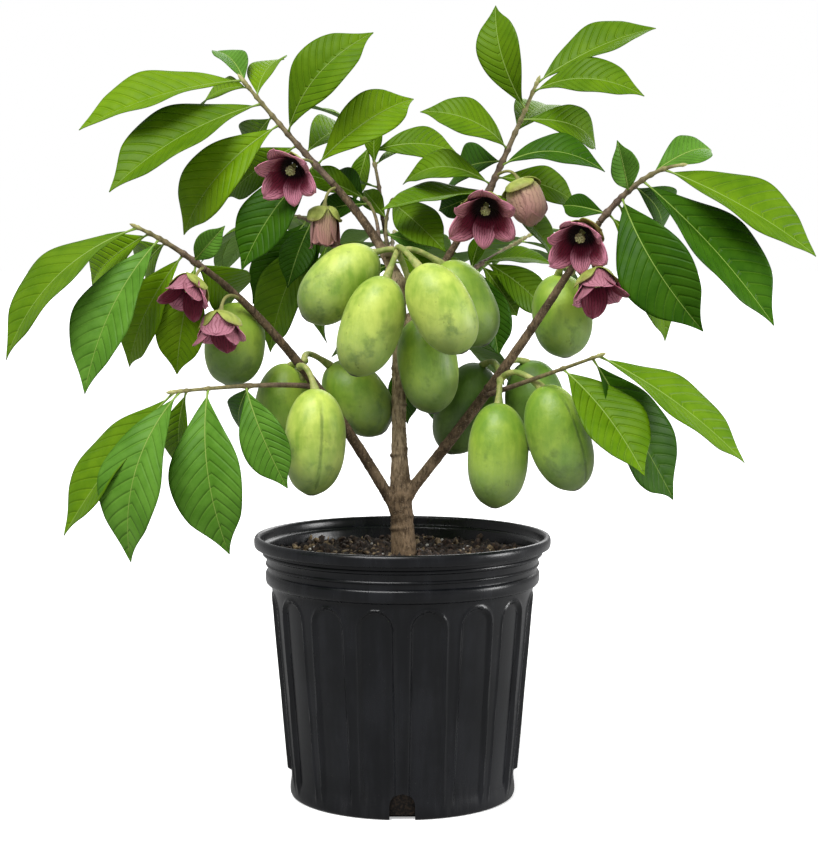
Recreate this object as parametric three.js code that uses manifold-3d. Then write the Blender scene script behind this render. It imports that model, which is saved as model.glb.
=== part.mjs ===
// A young pawpaw tree in a black nursery pot, carrying its green fruit and maroon flowers.
// Millimetres, +Z up. The origin is the middle of the pot's underside, and -Y is the side seen from the front.
import * as THREE from "three";
import { mergeVertices } from "three/addons/utils/BufferGeometryUtils.js";
import Module from "manifold-3d";

const wasm = await Module();
wasm.setup();

// Driving dimensions of the whole
const GAP = 0.3; // air between two solids that touch in life
const POT_HEIGHT = 265;
const RIM_RADIUS = 150;
const FOOT_RADIUS = 114;
const WALL_SLOPE = 0.086; // outward lean of the pot's wall, radius per height
const SOIL_TOP = 247;

const point = (x, y, z) => new THREE.Vector3(x, y, z);
const UP = point(0, 0, 1);
const { degToRad, lerp } = THREE.MathUtils;

// A multiplying generator: the same run of numbers from 0 to 1 for the same seed.
function seeded(seed) {
  let state = seed * 7919 + 17;
  return () => {
    state = (state * 16807) % 2147483647;
    return state / 2147483647;
  };
}

// Solids and meshes

// The closed surface of a geometry as a solid that can be joined and cut.
function solidOf(geometry) {
  const bare = new THREE.BufferGeometry().setAttribute("position", geometry.getAttribute("position"));
  bare.setIndex(geometry.index);
  const merged = mergeVertices(bare, 1e-3);
  return new wasm.Manifold(
    new wasm.Mesh({
      numProp: 3,
      vertProperties: merged.attributes.position.array,
      triVerts: new Uint32Array(merged.index.array),
    }),
  );
}

const joined = (solids) => solids.reduce((whole, next) => whole.add(next));
const cutClear = (solid, cutters) => cutters.reduce((left, cutter) => left.subtract(cutter), solid);

// The largest body of a solid, so that a scrap that a cut left loose is dropped.
function mainBody(solid) {
  return solid.decompose().reduce((a, b) => (a.volume() > b.volume() ? a : b));
}

function meshOf(solid, name, material) {
  const { numProp, numVert, vertProperties, triVerts } = solid.getMesh();
  const position = new Float32Array(numVert * 3);
  for (let i = 0; i < numVert; i++) {
    position.set(vertProperties.subarray(i * numProp, i * numProp + 3), i * 3);
  }
  const geometry = new THREE.BufferGeometry();
  geometry.setAttribute("position", new THREE.BufferAttribute(position, 3));
  geometry.setIndex(new THREE.BufferAttribute(triVerts, 1));
  geometry.computeVertexNormals();
  const mesh = new THREE.Mesh(geometry, material);
  mesh.name = name;
  return mesh;
}

// A skin over rings of equally many points. The root is closed by a fan, the end by a fan or drawn to a tip.
function skin(rings, tip) {
  const sides = rings[0].length;
  const position = rings.flat().flatMap((p) => p.toArray());
  const index = [];
  for (let ring = 0; ring < rings.length - 1; ring++) {
    for (let i = 0; i < sides; i++) {
      const a = ring * sides + i;
      const b = ring * sides + ((i + 1) % sides);
      index.push(a, b, b + sides, a, b + sides, a + sides);
    }
  }
  for (let i = 1; i < sides - 1; i++) {
    index.push(0, i + 1, i);
  }
  const last = (rings.length - 1) * sides;
  if (tip) {
    position.push(...tip.toArray());
    for (let i = 0; i < sides; i++) {
      index.push(last + i, last + ((i + 1) % sides), last + sides);
    }
  } else {
    for (let i = 1; i < sides - 1; i++) {
      index.push(last, last + i, last + i + 1);
    }
  }
  const geometry = new THREE.BufferGeometry();
  geometry.setAttribute("position", new THREE.Float32BufferAttribute(position, 3));
  geometry.setIndex(index);
  return solidOf(geometry);
}

// A round limb along a curve. radiusAt gives its radius at a share of the way, and grow swells it.
function limb(curve, radiusAt, sides, steps, grow = 0) {
  const { tangents, normals, binormals } = curve.computeFrenetFrames(steps);
  const rings = [];
  for (let step = 0; step <= steps; step++) {
    const share = step / steps;
    const middle = curve.getPointAt(share);
    if (step === 0) middle.addScaledVector(tangents[0], -grow);
    if (step === steps) middle.addScaledVector(tangents[steps], grow);
    const radius = radiusAt(share) + grow;
    rings.push(
      Array.from({ length: sides }, (_, i) => {
        const turn = (2 * Math.PI * i) / sides;
        return middle
          .clone()
          .addScaledVector(normals[step], radius * Math.cos(turn))
          .addScaledVector(binormals[step], radius * Math.sin(turn));
      }),
    );
  }
  return skin(rings);
}

// A thin leaf blade: four-sided sections from a short stalk to a point, folded up along the middle.
function blade({ root, along, face, length, width, arch, fold, stalk, shares, fullness }) {
  const upper = face.clone().addScaledVector(along, -face.dot(along)).normalize();
  const side = along.clone().cross(upper);
  const middleAt = (share) =>
    root
      .clone()
      .addScaledVector(along, share * length)
      .addScaledVector(upper, 4 * arch * length * share * (1 - share));
  const thick = Math.max(stalk, length / 100) / 2;
  const rings = shares.map((share) => {
    const middle = middleAt(share);
    const half = Math.max(stalk / 2, (width / 2) * fullness(share));
    const lift = Math.max(0, half - stalk / 2) * fold;
    return [
      middle.clone().addScaledVector(side, half).addScaledVector(upper, lift),
      middle.clone().addScaledVector(upper, -thick),
      middle.clone().addScaledVector(side, -half).addScaledVector(upper, lift),
      middle.clone().addScaledVector(upper, thick),
    ];
  });
  return skin(rings, middleAt(1));
}

// A closed profile of radius and height turned about the vertical axis.
function turned(profile, segments) {
  const points = profile.map(([radius, height]) => new THREE.Vector2(radius, height));
  return solidOf(new THREE.LatheGeometry(points, segments).rotateX(Math.PI / 2));
}

// Nursery pot: a tapered black plastic shell with a lipped rim and a banded neck. Arched panels are sunk in its wall
// and arched notches are cut in its foot.

const POT_WALL = 4.5;
const FLOOR = 4;
const POT_SEGMENTS = 48;
const BEAD_LOW = 217; // underside of the bead that rings the pot below its neck
const BEAD_HIGH = BEAD_LOW + 12;
const NECK_RADIUS = 138;
const LIP_LOW = POT_HEIGHT - 12; // underside of the rim
const PANEL = { count: 16, width: 32, low: 16, top: 207, depth: 2.4 };
const NOTCH = { count: 4, width: 25, height: 27 };

const wallRadius = (height) => FOOT_RADIUS + WALL_SLOPE * height;

function potShell() {
  const outside = [
    [0, 0],
    [FOOT_RADIUS - 4, 0],
    [wallRadius(4), 4],
    [wallRadius(BEAD_LOW), BEAD_LOW],
    [NECK_RADIUS + 0.5, BEAD_LOW + 3],
    [NECK_RADIUS + 0.5, BEAD_HIGH],
    [NECK_RADIUS - 1.5, BEAD_HIGH + 2],
    [NECK_RADIUS + 2, LIP_LOW],
    [RIM_RADIUS - 1, LIP_LOW],
    [RIM_RADIUS, POT_HEIGHT - 3],
    [RIM_RADIUS - 3, POT_HEIGHT],
  ];
  const inside = [
    [RIM_RADIUS - 8, POT_HEIGHT],
    [NECK_RADIUS - 2, LIP_LOW],
    [innerRadius(BEAD_LOW), BEAD_LOW],
    [innerRadius(FLOOR), FLOOR],
    [0, FLOOR],
  ];
  return turned([...outside, ...inside], POT_SEGMENTS);
}

const innerRadius = (height) => wallRadius(height) - POT_WALL;

// An upright slab with a round top, standing on the XY plane, that cuts a panel or a notch. It runs out along -Y.
function archCutter(width, height, deep) {
  const radius = width / 2;
  const outline = new THREE.Shape()
    .moveTo(-radius, 0)
    .lineTo(radius, 0)
    .lineTo(radius, height - radius)
    .absarc(0, height - radius, radius, 0, Math.PI)
    .closePath();
  const slab = new THREE.ExtrudeGeometry(outline, { depth: deep, bevelEnabled: false, curveSegments: 3 });
  return slab.rotateX(Math.PI / 2);
}

function potSolid() {
  const slope = Math.atan(WALL_SLOPE);
  const panels = Array.from({ length: PANEL.count }, (_, i) =>
    solidOf(
      archCutter(PANEL.width, PANEL.top - PANEL.low, 10)
        .rotateX(slope)
        .translate(0, PANEL.depth - wallRadius(PANEL.low), PANEL.low)
        .rotateZ(((i + 0.5) * 2 * Math.PI) / PANEL.count),
    ),
  );
  const notches = Array.from({ length: NOTCH.count }, (_, i) =>
    solidOf(
      archCutter(NOTCH.width, NOTCH.height + 1, 40)
        .translate(0, -FOOT_RADIUS + 16, -1)
        .rotateZ((i * 2 * Math.PI) / NOTCH.count),
    ),
  );
  return cutClear(potShell(), [...panels, ...notches]);
}

// Potting mix: it fills the pot to a finger's width below the rim
function soilSolid() {
  return turned(
    [
      [0, FLOOR + GAP],
      [innerRadius(FLOOR) - GAP, FLOOR + GAP],
      [innerRadius(BEAD_LOW) - GAP, BEAD_LOW],
      [innerRadius(SOIL_TOP) - GAP, SOIL_TOP],
      [0, SOIL_TOP],
    ],
    POT_SEGMENTS / 2,
  );
}

// Limbs: the trunk and its boughs. Each runs from a point on its parent over a bend to its tip, and radii gives
// its radius from one end to the other, at even shares of its length.

const wood = (from, bend, to, radii) => ({
  curve: new THREE.QuadraticBezierCurve3(from, bend, to),
  radiusAt: (share) => {
    const place = share * (radii.length - 1);
    const low = Math.min(Math.floor(place), radii.length - 2);
    return lerp(radii[low], radii[low + 1], place - low);
  },
});

// The trunk wavers a little, flares at its foot, and thins where the two lowest boughs leave it.
const TRUNK_FOOT = SOIL_TOP - 4;
const TRUNK_TIP = 512;
const trunkRadii = [13.8, 12, 11.6, 8.8, 7.8, 7.6, 7.4, 7.1, 6.8];
const trunk = wood(point(1.5, 0, TRUNK_FOOT), point(-7, 0, 380), point(-2, 2, TRUNK_TIP), trunkRadii);

const alongTrunk = (height) => trunk.curve.getPointAt((height - TRUNK_FOOT) / (TRUNK_TIP - TRUNK_FOOT));
const tipOf = ({ curve }) => curve.getPointAt(1);

const boughs = {
  bough_lower_left: wood(alongTrunk(280), point(-102, -44, 466), point(-190, -84, 534), [6.6, 6, 5.5, 4.6, 3.8]),
  bough_lower_right: wood(alongTrunk(298), point(116, -36, 446), point(193, -50, 580), [6.6, 6, 5.5, 4.6, 3.8]),
  bough_upper_right: wood(alongTrunk(462), point(46, 14, 548), point(86, 25, 608), [5.2, 4.4, 3.8]),
  bough_upper_left: wood(tipOf(trunk), point(-16, 8, 558), point(-70, 30, 618), [6.6, 5.2, 4.2]),
  bough_rear_right: wood(alongTrunk(478), point(40, 50, 508), point(66, 104, 526), [4.2, 3, 2.4]),
  bough_rear_left: wood(alongTrunk(490), point(-34, 50, 540), point(-74, 104, 560), [4.4, 3.6, 3]),
  bough_rear: wood(alongTrunk(440), point(-4, 84, 478), point(-10, 160, 520), [4.6, 3.8, 3]),
  bough_rear_top: wood(alongTrunk(503), point(-14, 60, 545), point(-22, 106, 588), [4.2, 3.2, 2.6]),
};

const LIMB_SIDES = 8;
const LIMB_STEPS = 6;
const limbSolid = ({ curve, radiusAt }, grow) => limb(curve, radiusAt, LIMB_SIDES, LIMB_STEPS, grow);

// Leaves: blades broadest past the middle, with a short stalk and a drawn-out point

const TWIG_SIDES = 6;
const TWIG_STEPS = 4;
const LEAF = { widthShare: 0.44, arch: 0.1, fold: 0.25, stalk: 2.2, shares: [0, 0.07, 0.3, 0.57, 0.82] };
const leafFullness = (share) => Math.sin(Math.PI * Math.max(0, share - 0.03) ** 1.12) ** 0.85;

// A direction by its heading in the front view, 0 to the right and 90 up, and its lean away from the viewer.
function direction(heading, lean) {
  const [turn, tilt] = [degToRad(heading), degToRad(lean)];
  return point(Math.cos(turn) * Math.cos(tilt), Math.sin(tilt), Math.sin(turn) * Math.cos(tilt));
}

// The way a leaf's upper side faces: towards the front, and turned by so many degrees from there to the sky.
function faceOf(along, turn) {
  const front = point(0, -1, 0).addScaledVector(along, along.y).normalize();
  const sky = along.clone().cross(front);
  if (sky.z < 0) sky.negate();
  return front.multiplyScalar(Math.cos(degToRad(turn))).addScaledVector(sky, Math.sin(degToRad(turn)));
}

// One leaf: where along its twig it grows, where it points, its length, how far its face is turned up to the sky
// and how high it arches, as a share of its length.
const leaf = (at, heading, lean, length, turn = 30, arch = LEAF.arch) => ({
  at,
  along: direction(heading, lean),
  length,
  face: faceOf(direction(heading, lean), turn),
  arch,
});

// Shoots: each has a stem from its limb over a bend to its tip, and the leaves that grow on it

const onBough = (name, share) => boughs[name].curve.getPointAt(share);
const stem = (from, bend, to, radii = [3.6, 1.7]) => wood(from, bend, to, radii);

const shoots = {
  shoot_upper_left: {
    stem: stem(tipOf(boughs.bough_upper_left), point(-126, 48, 678), point(-163, 58, 724), [4, 1.8]),
    leaves: [
      leaf(1, 197, -4, 174, 58, 0.07),
      leaf(0.78, 211, -16, 182, 48, 0.07),
      leaf(0.58, 228, 6, 151, 26, 0.2),
      leaf(0.97, 133, 50, 80, 44),
      leaf(0.84, 62, 56, 90, 44),
      leaf(0.93, 197, 50, 92, 60),
      leaf(0.49, 49, -8, 134, 26, 0.2),
      leaf(0.18, 35, 14, 124, 20, 0.2),
      leaf(0.38, 214, 32, 108, 30),
      leaf(0.19, 235, -8, 131, 28),
      leaf(0.66, 238, 66, 120, 40),
      leaf(0.3, 32, 62, 112, 40),
    ],
  },
  shoot_upper_right: {
    stem: stem(tipOf(boughs.bough_upper_right), point(108, 34, 655), point(136, 43, 720), [3.7, 1.8]),
    leaves: [
      leaf(0.76, 106, 6, 110, -22, 0.2),
      leaf(1, 25, 8, 136, 54, 0.07),
      leaf(0.92, 357, -16, 114, 40, 0.18),
      leaf(0.67, 341, 30, 98, 36, 0.24),
      leaf(0.25, 357, -10, 106, 50, 0.2),
      leaf(0.15, 343, 24, 96, 36, 0.15),
      leaf(0.4, 157, -8, 97, 36, 0.22),
      leaf(0.08, 179, 12, 92, 44, 0.26),
      leaf(0.04, 202, 40, 72, 10),
      leaf(0.02, 315, 26, 112, 56),
      leaf(0.01, 189, -6, 110, 66, 0.05),
      leaf(0.55, 40, 62, 110, 40),
      leaf(0.3, 196, 64, 110, 40),
    ],
  },
  shoot_lower_left: {
    stem: stem(tipOf(boughs.bough_lower_left), point(-222, -97, 560), point(-251, -110, 574), [3.6, 1.8]),
    leaves: [
      leaf(1, 225, -4, 177, 56, 0.13),
      leaf(0.83, 217, 40, 108, 34),
      leaf(0.69, 245, -14, 165, 34),
      leaf(0.33, 242, 18, 132, 38),
      leaf(0.13, 259, 4, 110, 8),
      leaf(0.16, 311, 66, 118, 10),
      leaf(0.17, 46, -34, 56, 0),
      leaf(0.6, 236, 66, 124, 40),
    ],
  },
  shoot_lower_right: {
    stem: stem(tipOf(boughs.bough_lower_right), point(232, -58, 630), point(268, -62, 634), [3.6, 1.8]),
    leaves: [
      leaf(0.84, 331, 4, 174, 50, 0.06),
      leaf(0.6, 312, -8, 190, 44, 0.03),
      leaf(0.33, 300, -18, 156, -16, 0.16),
      leaf(0.12, 296, 14, 146, 44),
      leaf(0.7, 22, 32, 82, 34, 0.18),
      leaf(0.42, 108, -42, 66, 6),
      leaf(0.1, 168, 40, 54, 10),
      leaf(0.5, 306, 62, 130, 40),
      leaf(0.26, 300, 46, 124, 30),
    ],
  },
  shoot_low_left: {
    stem: stem(onBough("bough_lower_left", 0.5), point(-124, -84, 426), point(-213, -158, 421), [3.2, 1.6]),
    leaves: [
      leaf(1, 232, 4, 174, 58, 0.04),
      leaf(0.96, 254, -8, 166, 30, 0.2),
      leaf(0.78, 278, -12, 158, -18, 0.16),
      leaf(0.53, 293, -12, 107, -12),
      leaf(0.92, 267, 28, 98, 44),
      leaf(0.5, 256, 50, 80, 50),
    ],
  },
  shoot_low_right: {
    stem: stem(onBough("bough_lower_right", 0.4), point(128, -84, 428), point(185, -142, 454), [3.2, 1.6]),
    leaves: [
      leaf(1, 324, 4, 174, 62, 0.04),
      leaf(0.95, 301, 20, 176, 56, 0.03),
      leaf(0.71, 307, -22, 130, 30, 0.04),
    ],
  },
  shoot_inner: {
    stem: stem(onBough("bough_upper_left", 0.4), point(-24, 44, 592), point(-40, 62, 604), [2.4, 1.5]),
    leaves: [
      leaf(1, 158, 8, 70, 30),
      leaf(0.85, 190, 30, 66, 20),
      leaf(0.95, 139, 44, 64, 20),
    ],
  },
  shoot_middle: {
    stem: stem(alongTrunk(507), point(-26, 40, 566), point(-12, 80, 600), [2.6, 1.5]),
    leaves: [
      leaf(1, 318, -42, 100, 20),
      leaf(0.8, 129, 40, 50, 10),
      leaf(0.62, 343, 28, 56, 20),
      leaf(0.45, 328, 20, 72, 20),
      leaf(0.3, 205, 40, 40, 20),
    ],
  },
  shoot_rear_top: {
    stem: stem(tipOf(boughs.bough_rear_top), point(-24, 150, 624), point(-37, 172, 668), [2.5, 1.4]),
    leaves: [
      leaf(0.86, 359, 10, 94, 34, 0.2),
      leaf(0.95, 255, -6, 64, 38, 0.05),
      leaf(0.7, 88, 6, 50, 30),
    ],
    grown: { from: 0.4, to: 1, count: 3, length: 84, seed: 3 },
  },
  shoot_rear_left: {
    stem: stem(tipOf(boughs.bough_rear_left), point(-102, 160, 596), point(-142, 256, 584), [3, 1.6]),
    leaves: [
      leaf(0.42, 237, -6, 108, 8),
      leaf(0.34, 251, -34, 88, 10),
      leaf(0.12, 232, 40, 76, 10),
      leaf(0.22, 248, 8, 146, 34),
      leaf(0.04, 268, -2, 110, 64),
    ],
    grown: { from: 0.56, to: 1, count: 5, length: 110, seed: 8 },
  },
  shoot_rear_right: {
    stem: stem(tipOf(boughs.bough_rear_right), point(92, 140, 542), point(140, 240, 566), [2.6, 1.6]),
    leaves: [
      leaf(0.22, 359, 6, 76, 62),
      leaf(0.14, 284, -8, 98, 28, 0.08),
      leaf(0.26, 320, 10, 92, 24),
      leaf(0.2, 306, 24, 76, 18),
      leaf(0.07, 72, 20, 42, 10),
      leaf(0.04, 161, 50, 40, 10),
    ],
    grown: { from: 0.58, to: 1, count: 6, length: 92, seed: 14 },
  },
  shoot_rear: {
    stem: stem(tipOf(boughs.bough_rear), point(-14, 215, 558), point(-10, 292, 570), [3, 1.6]),
    leaves: [],
    grown: { from: 0.12, to: 1, count: 8, length: 108, seed: 22 },
  },
  shoot_rear_low: {
    stem: stem(alongTrunk(426), point(24, 60, 468), point(34, 150, 474), [3, 1.6]),
    leaves: [
      leaf(0.4, 262, 4, 84, 30),
      leaf(0.5, 280, 4, 96, 30),
    ],
    grown: { from: 0.45, to: 1, count: 5, length: 112, seed: 12 },
  },
};

// Leaves that nothing hides and nothing shows: they alternate left and right along a stretch of the stem, spread
// less towards its tip, and hang a little. The seed sets how far each strays.
function grownLeaves(curve, { from, to, count, length, seed }) {
  const random = seeded(seed);
  return Array.from({ length: count }, (_, i) => {
    const share = i / (count - 1);
    const at = lerp(from, to, share);
    const ahead = curve.getTangentAt(at);
    const aside = ahead.clone().cross(UP).normalize();
    const spread = degToRad(lerp(72, 30, share) + 14 * (random() - 0.5));
    const along = ahead
      .clone()
      .multiplyScalar(Math.cos(spread))
      .addScaledVector(aside, (i % 2 ? 1 : -1) * Math.sin(spread));
    along.z -= lerp(0.25, 0.8, random());
    along.normalize();
    const face = UP.clone().addScaledVector(along, -along.z).normalize();
    return { at, along, length: length * lerp(0.86, 1.08, random()), face, arch: LEAF.arch };
  });
}

const twigSolid = ({ curve, radiusAt }, grow) => limb(curve, radiusAt, TWIG_SIDES, TWIG_STEPS, grow);

// A mass of foliage: the stem with every leaf's root sunk in it.
function shootSolid({ stem: { curve, radiusAt }, leaves, grown }, seed) {
  const random = seeded(seed);
  const all = grown ? [...leaves, ...grownLeaves(curve, grown)] : leaves;
  const blades = all.map(({ at, along, length, face, arch }) =>
    blade({
      root: curve.getPointAt(at),
      along,
      face,
      length,
      arch,
      width: length * LEAF.widthShare * lerp(0.94, 1.06, random()),
      fold: LEAF.fold * lerp(0.6, 1.4, random()),
      stalk: LEAF.stalk,
      shares: LEAF.shares,
      fullness: leafFullness,
    }),
  );
  return joined([twigSolid({ curve, radiusAt }, 0), ...blades]);
}

// Fruit: blunt oblong berries on stout stalks, alone or a few to a spur

const FRUIT = { width: 61, segments: 11, rows: 7, stalkRadius: 3, stalkDepth: 8, collar: 5, spurRadius: 4.2 };

function fruitBody(middle, along, length) {
  const profile = Array.from({ length: FRUIT.rows + 1 }, (_, row) => {
    const height = -Math.cos((Math.PI * row) / FRUIT.rows);
    const fullness = Math.max(0, 1 - Math.abs(height) ** 2.4) ** (1 / 2.1);
    return new THREE.Vector2((FRUIT.width / 2) * fullness, (height * length) / 2);
  });
  const body = new THREE.LatheGeometry(profile, FRUIT.segments);
  const turn = new THREE.Quaternion().setFromUnitVectors(point(0, 1, 0), along);
  return solidOf(body.applyQuaternion(turn).translate(middle.x, middle.y, middle.z));
}

// One fruit by its middle, the heading of its free end and its length.
const fruit = (x, y, z, heading, length) => ({ middle: point(x, y, z), along: direction(heading, 0), length });

function fruitOnStalk(root, { middle, along, length }) {
  const crown = middle.clone().addScaledVector(along, -length / 2);
  const bend = crown.clone().lerp(root, 0.5).addScaledVector(along, -0.4 * crown.distanceTo(root));
  const into = crown.clone().addScaledVector(along, FRUIT.stalkDepth);
  const stalk = limb(new THREE.QuadraticBezierCurve3(root, bend, into), () => FRUIT.stalkRadius, 5, 3);
  return joined([fruitBody(middle, along, length), stalk]);
}

// A knot that stalks start from: a point beside a bough, by the share of its length and the way off its axis.
const beside = (name, share, x, y, z) => onBough(name, share).add(point(x, y, z));

const clusters = {
  fruit_cluster_crown: {
    knot: point(-5, -24, 549),
    spur: onBough("bough_upper_left", 0.3),
    fruits: [
      fruit(-62, -30, 518, 224, 97),
      fruit(-31, -74, 479, 251, 102),
      fruit(38, -86, 496, 298, 95),
      fruit(62, -16, 499, 298, 93),
      fruit(24, -28, 438, 279, 97),
    ],
  },
  fruit_front_left: {
    knot: beside("bough_lower_left", 0.53, 1, -9, -2),
    fruits: [fruit(-86, -80, 367, 267, 105)],
  },
  fruit_inner_left: {
    knot: beside("bough_lower_left", 0.5, 6, 5, 5),
    fruits: [fruit(-46, 14, 402, 308, 88)],
  },
  fruit_rear_left: {
    knot: beside("bough_lower_left", 0.56, -2, 8, -6),
    fruits: [fruit(-120, -4, 394, 262, 91)],
  },
  fruit_upper_left: {
    knot: beside("bough_lower_left", 0.8, -1, 7, -5),
    fruits: [fruit(-166, -44, 460, 265, 83)],
  },
  fruit_pair_right: {
    knot: beside("bough_lower_right", 0.47, 2, -9, -3),
    fruits: [
      fruit(92, -72, 353, 268, 104),
      fruit(153, -80, 371, 288, 108),
    ],
  },
  fruit_rear_right: {
    knot: beside("bough_lower_right", 0.48, 0, 9, -2),
    fruits: [
      fruit(63, 24, 391, 250, 98),
      fruit(136, 6, 394, 280, 97),
    ],
  },
  fruit_upper_right: {
    knot: beside("bough_lower_right", 0.84, 2, 9, -2),
    fruits: [fruit(160, 6, 486, 277, 85)],
  },
};

function clusterSolid({ knot, spur, fruits }) {
  const collar = new THREE.IcosahedronGeometry(FRUIT.collar, 0).translate(knot.x, knot.y, knot.z);
  const parts = [solidOf(collar), ...fruits.map((one) => fruitOnStalk(knot, one))];
  if (spur) {
    const bend = spur.clone().lerp(knot, 0.5).add(point(0, -4, 6));
    parts.push(limb(new THREE.QuadraticBezierCurve3(spur, bend, knot), () => FRUIT.spurRadius, 7, 4));
  }
  return joined(parts);
}

// Blossoms: nodding bells of three long outer petals and shorter inner ones round a boss

const BELL = { length: 37, sides: 12, reaches: [1, 0.8, 0.86, 0.8], neck: 3, swell: 4, wall: 1.8, boss: 5.5 };
const FLOWER_STALK_RADIUS = 1.6;
const BUD = { radius: 15, sides: 10, rows: 6 };

// One blossom: where its stalk starts, where its cup sits, the way it looks, the spread of its petals, its size.
const blossom = (from, cup, heading, lean, open, size = 1) => ({
  from,
  cup,
  ahead: direction(heading, lean),
  open,
  size,
});

const onShoot = (name, share) => shoots[name].stem.curve.getPointAt(share);

const blossoms = {
  blossom_upper_left: blossom(onShoot("shoot_upper_left", 0.2), point(-108, 4, 634), 235, -60, 52),
  blossom_hanging_left: blossom(onBough("bough_upper_left", 0.96), point(-78, 10, 596), 268, 0, 16),
  blossom_lower_left: blossom(onShoot("shoot_lower_left", 0.02), point(-198, -106, 522), 244, -34, 38, 0.95),
  blossom_low_left: blossom(onBough("bough_lower_left", 0.86), point(-173, -104, 494), 268, -16, 30, 1.05),
  blossom_upper_right: blossom(onShoot("shoot_upper_right", 0.04), point(84, 4, 594), 256, -62, 54, 1.1),
  blossom_bud: blossom(onShoot("shoot_upper_right", 0.16), point(116, 10, 620), 286, -10, 0, 1),
  blossom_lower_right: blossom(onBough("bough_lower_right", 0.96), point(174, -70, 568), 242, -56, 50),
  blossom_low_right: blossom(onBough("bough_lower_right", 0.9), point(187, -78, 528), 288, -40, 38, 1.1),
};

// The bell's wall goes out to the rim and back in. Its rim runs out to a point at each petal, every second one
// shorter, and draws back between them.
function bellSolid(cup, ahead, across, length, open) {
  const ring = (share, inset) =>
    Array.from({ length: BELL.sides }, (_, i) => {
      const outward = across.clone().applyAxisAngle(ahead, (2 * Math.PI * i) / BELL.sides);
      const reach = BELL.reaches[i % BELL.reaches.length];
      const out = share * lerp(1, reach, share) * length;
      const angle = degToRad(open) * (0.75 + 0.25 * share);
      const swell = BELL.swell * Math.sin(Math.PI * Math.min(1, share * 1.2));
      const radius = BELL.neck + out * Math.sin(angle) + swell - inset;
      return cup
        .clone()
        .addScaledVector(ahead, out * Math.cos(angle) + inset * 0.8)
        .addScaledVector(outward, Math.max(0.6, radius));
    });
  const outside = [0, 0.4, 0.75, 1].map((share) => ring(share, 0));
  const inside = [0.7, 0.3].map((share) => ring(share, BELL.wall));
  return skin([...outside, ...inside]);
}

function budSolid(cup, ahead, length) {
  const profile = Array.from({ length: BUD.rows + 1 }, (_, row) => {
    const turn = (Math.PI * row) / BUD.rows;
    return new THREE.Vector2(BUD.radius * Math.sin(turn), (length * (1 - Math.cos(turn))) / 2);
  });
  const turn = new THREE.Quaternion().setFromUnitVectors(point(0, 1, 0), ahead);
  const body = new THREE.LatheGeometry(profile, BUD.sides).applyQuaternion(turn);
  return solidOf(body.translate(cup.x, cup.y, cup.z));
}

function blossomSolid({ from, cup, ahead, open, size }) {
  const across = ahead.clone().cross(UP).normalize();
  const bend = cup.clone().addScaledVector(ahead, -0.6 * from.distanceTo(cup));
  const foot = cup.clone().addScaledVector(ahead, 2);
  const parts = [limb(new THREE.QuadraticBezierCurve3(from, bend, foot), () => FLOWER_STALK_RADIUS, 4, 4)];
  if (open) {
    const boss = cup.clone().addScaledVector(ahead, 9);
    parts.push(bellSolid(cup, ahead, across, BELL.length * size, open));
    parts.push(solidOf(new THREE.IcosahedronGeometry(BELL.boss, 0).translate(boss.x, boss.y, boss.z)));
  } else {
    parts.push(budSolid(cup, ahead, BELL.length * size));
  }
  return joined(parts);
}

// Finishes and assembly

const finish = (color, roughness) => new THREE.MeshStandardMaterial({ color, roughness, metalness: 0 });
const finishes = {
  plastic: finish(0x1d1e20, 0.42),
  soil: finish(0x2b2019, 0.95),
  bark: finish(0x6e5a48, 0.8),
  foliage: finish(0x3f7d1e, 0.5),
  fruit: finish(0x93b862, 0.45),
  petal: finish(0x7a3145, 0.6),
};

const tree = new THREE.Group();
// Limbs reach into their parents and are cut back to a gap. The trunk's foot is cut flat by the ground.
const ground = solidOf(new THREE.BoxGeometry(60, 60, 20).translate(0, 0, SOIL_TOP + GAP - 10));
const grownLimbs = Object.values({ trunk, ...boughs }).map((one) => limbSolid(one, GAP));
const grownStems = Object.values(shoots).map((one) => twigSolid(one.stem, GAP));

tree.add(meshOf(potSolid(), "pot", finishes.plastic));
tree.add(meshOf(soilSolid(), "soil", finishes.soil));
tree.add(meshOf(limbSolid(trunk, 0).subtract(ground), "trunk", finishes.bark));
Object.entries(boughs).forEach(([name, one], i) => {
  const older = grownLimbs.slice(0, i + 1);
  tree.add(meshOf(mainBody(cutClear(limbSolid(one, 0), older)), name, finishes.bark));
});
Object.entries(shoots).forEach(([name, one], i) => {
  tree.add(meshOf(mainBody(cutClear(shootSolid(one, i + 1), grownLimbs)), name, finishes.foliage));
});
for (const [name, one] of Object.entries(clusters)) {
  tree.add(meshOf(mainBody(cutClear(clusterSolid(one), [...grownLimbs, ...grownStems])), name, finishes.fruit));
}
for (const [name, one] of Object.entries(blossoms)) {
  tree.add(meshOf(mainBody(cutClear(blossomSolid(one), [...grownLimbs, ...grownStems])), name, finishes.petal));
}

export default tree;
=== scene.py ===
# A young pawpaw tree in a black nursery pot, with green fruit and maroon flowers. Metres, +Z up, seen from -Y.
import math
from functools import partialmethod

import bmesh
import bpy
import numpy as np
from mathutils import Matrix, Quaternion, Vector, noise


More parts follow.
